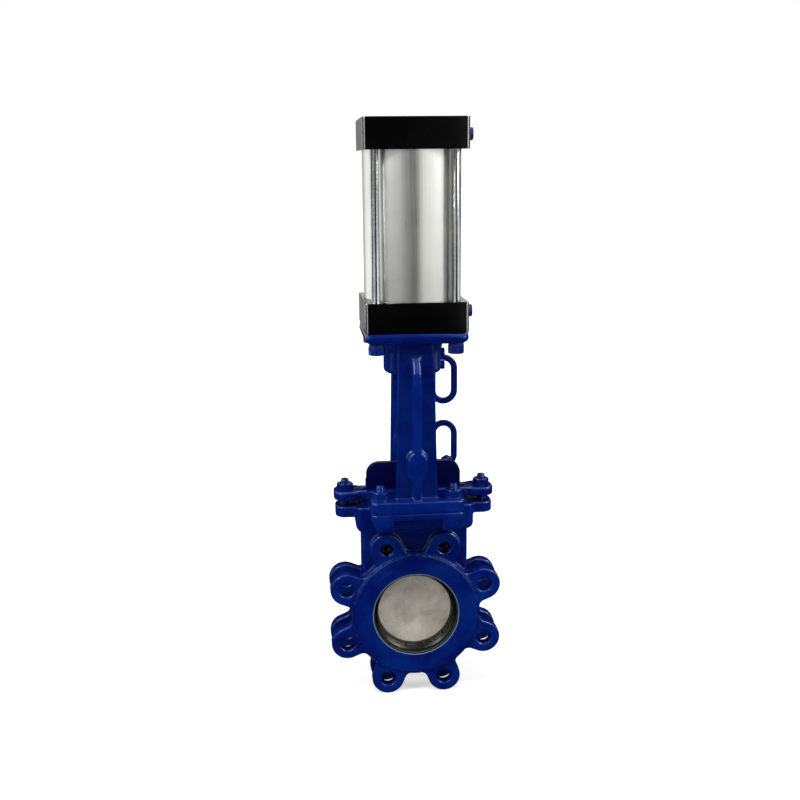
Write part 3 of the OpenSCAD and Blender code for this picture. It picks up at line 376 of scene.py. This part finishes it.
def startMaterial(name, settings):
    m = bpy.data.materials.new(name)
    m.use_nodes = True
    shader = m.node_tree.nodes["Principled BSDF"]
    for k, v in settings.items():
        shader.inputs[k].default_value = v
    return m, m.node_tree, shader.inputs


def useGroup(tree, group, values):
    return put(tree, "ShaderNodeGroup", values, node_tree=group).outputs


def useSkin(tree, look):
    return useGroup(tree, castTree, {"Grain": look["grain"], "Height": look["height"],
                                     "Radius": look["radius"]})


# thick glossy blue; tone and fine are the parts of the noise that are used, gloss and wallRough
# are roughness; the worn colour is a lighter blue for edges, part wear and part painted highlight;
# the wall and hole colours are painted shade in the bore and the bolt holes, the lip colour a pale
# line on the bore's front rim
paintLook = {"deep": (0.0003, 0.0046, 0.1, 1), "light": (0.0007, 0.0145, 0.15, 1),
             "wornHighlight": (0.05, 0.13, 0.42, 1), "Wall": (0.003, 0.007, 0.013, 1),
             "Lip": (0.15, 0.19, 0.2, 1), "ShadedHole": (0.0003, 0.0007, 0.005, 1),
             "tone": (0.35, 0.68), "fine": (0.3, 0.75), "gloss": (0.06, 0.15), "wallRough": 0.8,
             "grain": 620.0, "height": 0.00014, "radius": 0.0024, "wear": 0.5,
             "wearRadius": 0.0016, "wearBreak": 260.0, "ringPitch": 0.0028, "ringDepth": 0.0003}
boltLook = {**paintLook, "gloss": (0.07, 0.16), "grain": 1100.0, "height": 0.00005,
            "radius": 0.0007, "wear": 0.7, "wearRadius": 0.0007, "wearBreak": 700.0}
paintGloss = {"Specular IOR Level": 0.95, "Specular Tint": (0.5, 0.7, 1.0, 1)}


def blueCoat(tree, look):
    # colour with edges lightened by wear and by painted highlight, roughness and normal of the
    # paint
    skin = useSkin(tree, look)
    edge = useGroup(tree, edgeTree, {"Radius": look["wearRadius"], "Break": look["wearBreak"]})
    base = mixColour(tree, ramp(tree, skin["Tone"], *look["tone"]), look["deep"], look["light"])
    # the lighter blue on rounded edges is part wear and part painted highlight
    wornHighlight = times(tree, edge["Mask"], look["wear"])
    return (mixColour(tree, wornHighlight, base, look["wornHighlight"]),
            ramp(tree, skin["Fine"], *look["fine"], *look["gloss"]), skin["Normal"])


def makeBluePaint(look):
    m, tree, shader = startMaterial("bluePaint", paintGloss)
    base, gloss, normal = blueCoat(tree, look)
    port = useGroup(tree, portTree, {"Pitch": look["ringPitch"]})
    # painted shade in the bolt holes and on the bore's wall, and a pale line on the bore's front
    # rim
    for mark in ("ShadedHole", "Wall", "Lip"):
        base = mixColour(tree, port[mark], base, look[mark])
    feed(tree, shader, {"Base Color": base,
                        "Roughness": mixValue(tree, port["Wall"], gloss, look["wallRough"]),
                        "Normal": bumpOn(tree, port["Height"], look["ringDepth"], normal)})
    return m


def makeFastenerPaint(look):
    m, tree, shader = startMaterial("bluePaintOnBolts", paintGloss)
    base, gloss, normal = blueCoat(tree, look)
    feed(tree, shader, {"Base Color": base, "Roughness": gloss, "Normal": normal})
    return m


capLook = {"deep": (0.0004, 0.0004, 0.0005, 1), "light": (0.0012, 0.0012, 0.0014, 1),
           "bare": (0.62, 0.62, 0.6, 1), "bareShare": 0.75, "tone": (0.35, 0.7),
           "fine": (0.3, 0.75), "gloss": (0.14, 0.24), "grain": 900.0, "height": 0.00003,
           "radius": 0.0012}
capGloss = {"Specular IOR Level": 0.1, "Coat Weight": 0.12, "Coat Roughness": 0.06,
            "Coat IOR": 1.35}


def makeBlackPaint(look):
    # bare metal shows along the upright corners of the caps
    m, tree, shader = startMaterial("blackPaint", capGloss)
    skin = useSkin(tree, look)
    edge = useGroup(tree, edgeTree, {})
    base = mixColour(tree, ramp(tree, skin["Tone"], *look["tone"]), look["deep"], look["light"])
    bare = times(tree, edge["Upright"], look["bareShare"])
    feed(tree, shader, {"Base Color": mixColour(tree, bare, base, look["bare"]),
                        "Metallic": bare,
                        "Roughness": ramp(tree, skin["Fine"], *look["fine"], *look["gloss"]),
                        "Normal": skin["Normal"]})
    return m


# rough is the roughness of the dark and the pale streaks, stretch how many streaks fit in a metre
metals = {
    "tube_alloy": {"name": "drawnTube", "dark": (0.73, 0.73, 0.69, 1),
                   "pale": (0.81, 0.81, 0.77, 1), "rough": (0.27, 0.33),
                   "stretch": (900.0, 900.0, 10.0), "height": 0.0000015},
    "chrome_bar": {"name": "chromedBar", "dark": (0.55, 0.56, 0.58, 1),
                   "pale": (0.78, 0.79, 0.8, 1), "rough": (0.06, 0.16),
                   "stretch": (60.0, 60.0, 1500.0), "height": 0.000002},
    "zinc_steel": {"name": "zincPlate", "dark": (0.36, 0.36, 0.34, 1),
                   "pale": (0.66, 0.65, 0.6, 1), "rough": (0.25, 0.45),
                   "stretch": (500.0, 500.0, 500.0), "height": 0.000008},
    "forged_steel": {"name": "forgedSteel", "dark": (0.14, 0.14, 0.14, 1),
                     "pale": (0.36, 0.36, 0.35, 1), "rough": (0.35, 0.55),
                     "stretch": (500.0, 500.0, 60.0), "height": 0.00002},
    # the seat ring's steel is darkened to near black: painted shade from inside the bore
    "seat_steel": {"name": "shadedTurnedRing", "dark": (0.012, 0.011, 0.01, 1),
                   "pale": (0.05, 0.046, 0.04, 1), "rough": (0.3, 0.42),
                   "stretch": (60.0, 1600.0, 60.0), "height": 0.000003},
    "piston_alloy": {"name": "turnedAlloy", "dark": (0.5, 0.5, 0.5, 1),
                     "pale": (0.76, 0.76, 0.76, 1), "rough": (0.25, 0.4),
                     "stretch": (60.0, 60.0, 1400.0), "height": 0.00001},
    "bronze": {"name": "bearingBronze", "dark": (0.32, 0.18, 0.06, 1),
               "pale": (0.58, 0.38, 0.16, 1), "rough": (0.3, 0.5),
               "stretch": (400.0, 400.0, 400.0), "height": 0.00001},
}
metalMix = {"streak": 0.6, "blotch": 0.4, "tone": (0.35, 0.65), "fine": (0.3, 0.7)}


def makeMetal(look):
    m, tree, shader = startMaterial(look["name"], {"Metallic": 1.0})
    lines = useGroup(tree, brushedTree, {"Stretch": look["stretch"], "Height": look["height"]})
    tone = plus(tree, times(tree, lines["Streak"], metalMix["streak"]),
                times(tree, lines["Tone"], metalMix["blotch"]))
    base = mixColour(tree, ramp(tree, tone, *metalMix["tone"]), look["dark"], look["pale"])
    feed(tree, shader, {"Base Color": base,
                        "Roughness": ramp(tree, tone, *metalMix["fine"], *look["rough"]),
                        "Normal": lines["Normal"]})
    return m


# stained and wipes hold the part of the noise that is used, then the strength; paintFrom is a
# height, and rough the roughness of dull and bright steel
gateLook = {"dull": (0.52, 0.485, 0.41, 1), "bright": (0.86, 0.81, 0.7, 1),
            "stain": (0.26, 0.22, 0.16, 1), "stained": (0.6, 0.72, 0.4),
            "wiped": (0.92, 0.88, 0.78, 1), "wipes": (0.56, 0.76, 0.3), "metal": 0.35,
            "tone": (0.34, 0.66), "fine": (0.3, 0.7), "rough": (0.5, 0.36),
            "blotchScale": 26.0, "spotScale": 190.0,
            "stretch": (700.0, 700.0, 14.0), "height": 0.000008, "radius": 0.001,
            # the blue above the gland is real paint; how much darker it is than the yoke's blue is
            # painted shade
            "paint": (0.0004, 0.0016, 0.042, 1), "paintFrom": 0.147, "paintEdge": 0.001,
            "paintWaver": 0.006, "paintRough": 0.3}


def makeGateSteel(look):
    # stainless plate with wipe marks and fine upright scratches; above the gland it was sprayed
    # with the yoke, in a blue darker than the yoke's that is painted shade
    m, tree, shader = startMaterial("gateSteel", {"Specular IOR Level": 0.12})
    lines = useGroup(tree, brushedTree, {"Stretch": look["stretch"], "Height": look["height"],
                                         "Radius": look["radius"]})
    coords = objectCoords(tree)
    blotch = noise(tree, coords, look["blotchScale"], detail=5.0, distortion=0.5)
    spots = noise(tree, coords, look["spotScale"], detail=4.0, roughness=0.7)
    base = mixColour(tree, ramp(tree, blotch, *look["tone"]), look["dull"], look["bright"])
    for pattern, marks, colour in ((spots, look["stained"], look["stain"]),
                                   (lines["Streak"], look["wipes"], look["wiped"])):
        low, high, strength = marks
        base = mixColour(tree, times(tree, ramp(tree, pattern, low, high), strength), base, colour)
    waver = times(tree, minus(tree, blotch, 0.5), look["paintWaver"])
    ragged = plus(tree, split(tree, coords)["Z"], waver)
    painted = ramp(tree, ragged, look["paintFrom"], look["paintFrom"] + look["paintEdge"])
    bare = ramp(tree, blotch, *look["fine"], *look["rough"])
    feed(tree, shader, {"Base Color": mixColour(tree, painted, base, look["paint"]),
                        "Metallic": times(tree, minus(tree, 1.0, painted), look["metal"]),
                        "Roughness": mixValue(tree, painted, bare, look["paintRough"]),
                        "Normal": lines["Normal"]})
    return m


softs = {
    "rubber": {"name": "nitrileRubber", "dark": (0.008, 0.008, 0.008, 1),
               "pale": (0.018, 0.018, 0.019, 1), "rough": (0.45, 0.6), "grain": 1500.0,
               "height": 0.00002, "coat": 0.0},
    "polymer": {"name": "guidePolymer", "dark": (0.62, 0.62, 0.57, 1),
                "pale": (0.76, 0.76, 0.71, 1), "rough": (0.4, 0.55), "grain": 900.0,
                "height": 0.00002, "coat": 0.0},
    "plug_plastic": {"name": "plugPlastic", "dark": (0.001, 0.005, 0.06, 1),
                     "pale": (0.003, 0.013, 0.12, 1), "rough": (0.22, 0.32), "grain": 1200.0,
                     "height": 0.00001, "coat": 0.3},
}
softMix = {"radius": 0.0004, "tone": (0.35, 0.65), "fine": (0.3, 0.7)}


def makeSoft(look):
    m, tree, shader = startMaterial(look["name"], {"Specular IOR Level": 0.4,
                                                   "Coat Weight": look["coat"],
                                                   "Coat Roughness": 0.2})
    skin = useSkin(tree, {**softMix, **look})
    base = mixColour(tree, ramp(tree, skin["Tone"], *softMix["tone"]), look["dark"], look["pale"])
    feed(tree, shader, {"Base Color": base,
                        "Roughness": ramp(tree, skin["Fine"], *softMix["fine"], *look["rough"]),
                        "Normal": skin["Normal"]})
    return m


braidLook = {"dark": (0.12, 0.12, 0.11, 1), "pale": (0.42, 0.41, 0.37, 1),
             "slant": (0.6, 0.6, 0.785), "scale": 130.0, "height": 0.0004}


def makePacking(look):
    # slanting strands of a square braid
    m, tree, shader = startMaterial("braidedPacking", {"Specular IOR Level": 0.3,
                                                       "Roughness": 0.8})
    slanted = put(tree, "ShaderNodeMapping", {"Vector": objectCoords(tree),
                                              "Rotation": look["slant"]}).outputs[0]
    strands = put(tree, "ShaderNodeTexWave", {"Vector": slanted, "Scale": look["scale"],
                                              "Distortion": 1.5, "Detail": 1.0}).outputs["Fac"]
    feed(tree, shader, {"Base Color": mixColour(tree, strands, look["dark"], look["pale"]),
                        "Normal": bumpOn(tree, strands, look["height"])})
    return m


boltPaint = makeFastenerPaint(boltLook)
finishes = {"blue_paint": makeBluePaint(paintLook), "black_paint": makeBlackPaint(capLook),
            "gate_steel": makeGateSteel(gateLook), "packing": makePacking(braidLook)}
for slot, look in metals.items():
    finishes[slot] = makeMetal(look)
for slot, look in softs.items():
    finishes[slot] = makeSoft(look)
fasteners = ["gland_studs", "gland_nuts", "yoke_studs", "yoke_nuts", "yoke_washers", "hub_bolts",
             "bracket_bolts", "cylinder_bolts", "cylinder_washers", "target_bolt", "target_nut"]


def finishOf(name):
    return boltPaint if name in fasteners else finishes[slotOf[name]]


for name, obj in nodes.items():
    dress(obj, finishOf(name))
print("materials ready,", len(finishes) + 1, "finishes")

# every piece but the studs gets a smooth copy, and edges that turn more than angle are rounded
castEdge = {"width": 1.7 * mm, "segments": 4, "angle": 28, "smooth": 40}
capEdge = {"width": 0.8 * mm, "segments": 3, "angle": 40, "smooth": 40}
plateEdge = {"width": 0.5 * mm, "segments": 2, "angle": 40, "smooth": 40}
plainEdge = {"width": 0, "smooth": 24}
roundings = {"body_casting": castEdge, "yoke": {**castEdge, "width": 1.8 * mm},
             "gland_follower": castEdge, "bottom_cap": capEdge, "top_cap": capEdge,
             "upper_switch_bracket": plateEdge, "lower_switch_bracket": plateEdge,
             "knife_gate": plateEdge}
# merging distance, angle of faces that count as flat, and where two roundings run into each
# other: how far a corner may leave the casting and how far around it edges stay sharp, in widths
skinCare = {"merge": 0.000002, "flat": 0.5, "strayFrom": 0.6, "strayReach": 2}
threaded = ["gland_studs", "yoke_studs"]


def copyOf(obj, name):
    piece = obj.copy()
    piece.data = obj.data.copy()
    piece.name = name
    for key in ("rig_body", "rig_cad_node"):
        if key in piece:
            del piece[key]
    piece.parent = None
    bpy.context.scene.collection.objects.link(piece)
    return piece


def mergeSkin(piece):
    # the loose triangles of the CAD become one skin
    pickOnly(piece)
    bpy.ops.object.mode_set(mode="EDIT")
    bpy.ops.mesh.select_all(action="SELECT")
    bpy.ops.mesh.remove_doubles(threshold=skinCare["merge"])
    bpy.ops.mesh.beautify_fill(angle_limit=math.radians(skinCare["flat"]))
    bpy.ops.object.mode_set(mode="OBJECT")


def markSharpEdges(piece, angle):
    # the edges to round get a bevel weight of 1
    pickOnly(piece)
    bpy.ops.object.mode_set(mode="EDIT")
    bpy.ops.mesh.select_mode(type="EDGE")
    bpy.ops.mesh.select_all(action="DESELECT")
    bpy.ops.mesh.edges_select_sharp(sharpness=math.radians(angle))
    bpy.ops.object.mode_set(mode="OBJECT")
    weights = piece.data.attributes.new("bevel_weight_edge", "FLOAT", "EDGE").data
    for e in piece.data.edges:
        weights[e.index].value = 1.0 if e.select else 0.0


def bevelMarked(piece, spec):
    bevel = piece.modifiers.new("edges", "BEVEL")
    bevel.width = spec["width"]
    bevel.segments = spec["segments"]
    bevel.limit_method = "WEIGHT"
    bevel.use_clamp_overlap = False
    bevel.loop_slide = False
    applyModifiers(piece)


def strayPlaces(trial, cad, limit):
    # corners beside the faces that a trial rounding throws off the casting; find_nearest gives
    # the distance last
    skin = BVHTree.FromPolygons([v.co for v in cad.vertices],
                                [list(f.vertices) for f in cad.polygons])
    stray = {v.index for v in trial.data.vertices if skin.find_nearest(v.co)[-1] > limit}
    beside = []
    for face in trial.data.polygons:
        if stray & set(face.vertices):
            beside += [trial.data.vertices[i].co.copy() for i in face.vertices if i not in stray]
    return beside


def leaveSharp(piece, places, reach):
    weights = piece.data.attributes["bevel_weight_edge"].data
    points = [v.co for v in piece.data.vertices]
    for e in piece.data.edges:
        a, b = (points[i] for i in e.vertices)
        if weights[e.index].value > 0 and any((place - q).length < reach
                                              for place in places for q in (a, b, (a + b) / 2)):
            weights[e.index].value = 0.0


def roundEdges(piece, cad, spec):
    markSharpEdges(piece, spec["angle"])
    trial = copyOf(piece, "trial")
    bevelMarked(trial, spec)
    stray = strayPlaces(trial, cad, spec["width"] * skinCare["strayFrom"])
    bpy.data.objects.remove(trial)
    leaveSharp(piece, stray, spec["width"] * skinCare["strayReach"])
    bevelMarked(piece, spec)
    even = piece.modifiers.new("even", "WEIGHTED_NORMAL")
    even.keep_sharp = True


def roundedCopy(name, spec):
    piece = copyOf(nodes[name], name + "_rounded")
    mergeSkin(piece)
    if spec["width"]:
        roundEdges(piece, nodes[name].data, spec)
    pickOnly(piece)
    bpy.ops.object.shade_smooth_by_angle(angle=math.radians(spec["smooth"]))
    applyModifiers(piece)
    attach(piece, bodyOf[name])
    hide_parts(name)
    dress(piece, finishOf(name))


for name in nodes:
    if name not in threaded:
        roundedCopy(name, roundings.get(name, plainEdge))
print("rounded", len(roundings), "castings and plates")

# start is where the turned thread is cut, in pitches, past its first ragged turn
threadSpec = {"radius": 5 * mm, "pitch": 1.5 * mm, "depth": 0.92 * mm, "steps": 28,
              "chamfer": 1.1 * mm, "start": 1.02, "smooth": 35, "merge": 0.00001}


def turnTooth(name, spec, length):
    # one tooth of the thread, open towards the stud, is turned up it by a screw modifier
    deselectAll()
    bpy.ops.mesh.primitive_circle_add(vertices=3, radius=spec["radius"], fill_type="NOTHING",
                                      location=(0, 0, 0))
    rod = bpy.context.object
    rod.name = name
    root = spec["radius"] - spec["depth"]
    tooth = [(root, 0, 0), (spec["radius"], 0, spec["pitch"] / 2), (root, 0, spec["pitch"])]
    for v, place in zip(rod.data.vertices, tooth):
        v.co = place
    bpy.ops.object.mode_set(mode="EDIT")
    bpy.ops.mesh.select_mode(type="EDGE")
    bpy.ops.mesh.select_all(action="DESELECT")
    bpy.ops.object.mode_set(mode="OBJECT")
    for e in rod.data.edges:
        e.select = set(e.vertices) == {0, 2}
    bpy.ops.object.mode_set(mode="EDIT")
    bpy.ops.mesh.delete(type="EDGE")
    bpy.ops.object.mode_set(mode="OBJECT")
    screw = rod.modifiers.new("thread", "SCREW")
    screw.axis = "Z"
    screw.steps = spec["steps"]
    screw.render_steps = spec["steps"]
    screw.screw_offset = spec["pitch"]
    screw.iterations = int(length / spec["pitch"]) + 2
    applyModifiers(rod)
    return rod


def cutEnds(low, high, merge):
    # both ends of the active rod are cut flat and closed
    bpy.ops.object.mode_set(mode="EDIT")
    bpy.ops.mesh.select_mode(type="VERT")
    bpy.ops.mesh.select_all(action="SELECT")
    bpy.ops.mesh.remove_doubles(threshold=merge)
    for level, clearUp in ((low, False), (high, True)):
        bpy.ops.mesh.select_all(action="SELECT")
        bpy.ops.mesh.bisect(plane_co=(0, 0, level), plane_no=(0, 0, 1), use_fill=True,
                            clear_inner=not clearUp, clear_outer=clearUp)
    bpy.ops.mesh.select_all(action="SELECT")
    bpy.ops.mesh.normals_make_consistent(inside=False)
    bpy.ops.object.mode_set(mode="OBJECT")


def threadedEnd(name, spec, x, y, top, length):
    rod = turnTooth(name, spec, length)
    low = spec["pitch"] * spec["start"]
    cutEnds(low, low + length, spec["merge"])
    for v in rod.data.vertices:
        over = v.co.z - (low + length - spec["chamfer"])
        limit = spec["radius"] - over
        reach = math.hypot(v.co.x, v.co.y)
        if over > 0 and reach > limit:
            v.co.x *= limit / reach
            v.co.y *= limit / reach
    rod.location = (x, y, top - low - length)
    settle(rod)
    bpy.ops.object.shade_smooth_by_angle(angle=math.radians(spec["smooth"]))
    return rod


def studPlaces(node, twoRows):
    # the middle of each stud: one left and one right, in one row or on both sides of the body
    studs = {}
    for v in nodes[node].data.vertices:
        studs.setdefault((v.co.x > 0, twoRows and v.co.y > midPlane), []).append(v.co)
    return [((min(p.x for p in stud) + max(p.x for p in stud)) / 2,
             (min(p.y for p in stud) + max(p.y for p in stud)) / 2) for stud in studs.values()]


def threadStuds(node, body, twoRows):
    low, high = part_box(node)
    rods = [threadedEnd(node + "_threads", threadSpec, x, y, high.z, high.z - low.z)
            for x, y in studPlaces(node, twoRows)]
    deselectAll()
    for r in rods:
        r.select_set(True)
    bpy.context.view_layer.objects.active = rods[0]
    bpy.ops.object.join()
    dress(rods[0], boltPaint)
    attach(rods[0], body)
    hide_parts(node)


threadStuds("gland_studs", "valve", False)
threadStuds("yoke_studs", "valve", True)
print("threads cut on the studs")

# lamps and cards stand round the valve, in metres; a card's angle starts at the camera's bearing
studio = {
    "floorSize": 60.0, "floorTone": (0.55, 0.55, 0.55, 1), "floorDrop": 0.0002,
    "ambient": 0.28, "nearWhite": 0.55, "shadowReach": (0.35, 1.3),
    "aimHeight": 0.24, "cameraBearing": -96, "cardLift": 0.0004,
    "lamps": {
        "leftLight": {"place": (-1.65, -0.95, 1.6), "size": (0.5, 0.9), "power": 34},
        "leftFill": {"place": (-1.85, -0.6, 0.75), "size": (0.5, 0.5), "power": 9,
                     "shiny": False},
        "rightLight": {"place": (1.7, -0.85, 1.45), "size": (0.5, 0.9), "power": 30},
        "rightFill": {"place": (1.85, -0.5, 0.75), "size": (0.5, 0.5), "power": 7,
                      "shiny": False},
        "topLight": {"place": (0.2, -0.8, 2.3), "size": (0.5, 0.3), "power": 20,
                     "shiny": False},
        "backLight": {"place": (-0.4, 1.9, 2.0), "size": (0.8, 0.8), "power": 20}},
    "cards": {
        "frontFlag": {"angle": 8, "reach": 0.47, "size": (0.19, 0.7), "low": -0.39, "tone": 0.01},
        "bracketFlag": {"angle": 24, "reach": 0.48, "size": (0.1, 0.65), "low": -0.4,
                        "tone": 0.01},
        "tubeFlag": {"angle": 8, "reach": 0.47, "size": (0.19, 0.6), "low": 0.31, "tone": 0.12},
        "innerCard": {"angle": -13, "reach": 0.8, "size": (0.26, 0.9), "low": 0.21, "tone": 0.3},
        "leftCard": {"angle": -50, "reach": 1.9, "size": (1.8, 1.5), "low": 0.1, "tone": 0.57},
        "sideCard": {"angle": 124, "reach": 1.0, "size": (0.96, 1.2), "low": 0.15, "tone": 0.01},
        "capCard": {"angle": 203, "reach": 1.0, "size": (0.58, 1.4), "low": 0.0, "tone": 0.36},
        "backFlag": {"angle": 182, "reach": 0.35, "size": (0.5, 0.41), "low": -0.12,
                     "tone": 0.01},
        "leftHubFlag": {"angle": 239, "reach": 0.4, "size": (0.42, 0.42), "low": -0.12,
                        "tone": 0.02},
        "rightHubFlag": {"angle": 133, "reach": 0.4, "size": (0.3, 0.42), "low": -0.12,
                         "tone": 0.02},
        "tableFlag": {"angle": 6, "reach": 0.93, "size": (6.0, 4.2), "lying": True,
                      "tone": 0.01}},
}


def lightFromLooks(tree):
    # 1 for what the camera, a mirror or glass sees, 0 for what lights the object
    path = put(tree, "ShaderNodeLightPath").outputs
    seen = plus(tree, path["Is Camera Ray"], path["Is Glossy Ray"])
    return mathNode(tree, "ADD", seen, path["Is Transmission Ray"], True)


def makeFloor(s):
    # the floor is seen white; near the object it keeps its own shade, so that the shadow stays
    deselectAll()
    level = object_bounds()[0].z - s["floorDrop"]
    bpy.ops.mesh.primitive_plane_add(size=s["floorSize"], location=(0, 0, level))
    floor = bpy.context.object
    floor.name = "studioFloor"
    m, tree, shader = startMaterial("paleFloor", {"Base Color": s["floorTone"], "Roughness": 0.8,
                                                  "Specular IOR Level": 0.0,
                                                  "Emission Color": (1, 1, 1, 1)})
    white = ramp(tree, lengthOf(tree, objectCoords(tree)), *s["shadowReach"], s["nearWhite"], 1.0)
    feed(tree, shader, {"Emission Strength": times(tree, white, lightFromLooks(tree))})
    dress(floor, m)
    floor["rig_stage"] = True


def makeWorld(s):
    world = bpy.data.worlds.new("softStudio")
    bpy.context.scene.world = world
    world.use_nodes = True
    tree = world.node_tree
    back = tree.nodes["Background"].inputs
    back["Color"].default_value = (1, 1, 1, 1)
    level = put(tree, "ShaderNodeMapRange", {"Value": lightFromLooks(tree),
                                             "To Min": s["ambient"], "To Max": 1.0})
    feed(tree, back, {"Strength": level.outputs["Result"]})


def addLamp(name, spec, aimHeight):
    bpy.ops.object.light_add(type="AREA", location=spec["place"])
    lamp = bpy.context.object
    lamp.name = name
    lamp.data.shape = "RECTANGLE"
    lamp.data.size, lamp.data.size_y = spec["size"]
    lamp.data.energy = spec["power"]
    lamp.visible_glossy = spec.get("shiny", True)
    aim = Vector((0, midPlane, aimHeight)) - lamp.location
    lamp.rotation_euler = aim.to_track_quat("-Z", "Y").to_euler()


def addCard(name, spec, s):
    # a toned card that only reflections see gives bright metal and glossy paint their dark bands
    deselectAll()
    turn = math.radians(spec["angle"] + s["cameraBearing"])
    middle = Vector((0, midPlane, 0))
    place = middle + Vector((math.cos(turn), math.sin(turn), 0)) * spec["reach"]
    if spec.get("lying"):
        bpy.ops.mesh.primitive_circle_add(vertices=64, radius=0.5, fill_type="NGON",
                                          location=place)
        card = bpy.context.object
        card.location.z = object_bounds()[0].z + s["cardLift"]
    else:
        bpy.ops.mesh.primitive_plane_add(size=1, location=place)
        card = bpy.context.object
        card.rotation_euler = (middle - place).to_track_quat("-Z", "Y").to_euler()
        card.location.z = spec["low"] + spec["size"][1] / 2
    card.name = name
    card.scale = (*spec["size"], 1)
    settle(card)
    dress(card, startMaterial(name, {"Base Color": (0, 0, 0, 1), "Roughness": 1.0,
                                     "Specular IOR Level": 0.0, "Emission Color": (1, 1, 1, 1),
                                     "Emission Strength": spec["tone"]})[0])
    card.visible_camera = False
    card.visible_shadow = False
    card.visible_diffuse = False
    card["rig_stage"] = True


makeFloor(studio)
makeWorld(studio)
for lampName, lampSpec in studio["lamps"].items():
    addLamp(lampName, lampSpec, studio["aimHeight"])
for cardName, cardSpec in studio["cards"].items():
    addCard(cardName, cardSpec, studio)
bpy.context.scene.view_settings.view_transform = "Standard"
print("studio ready")
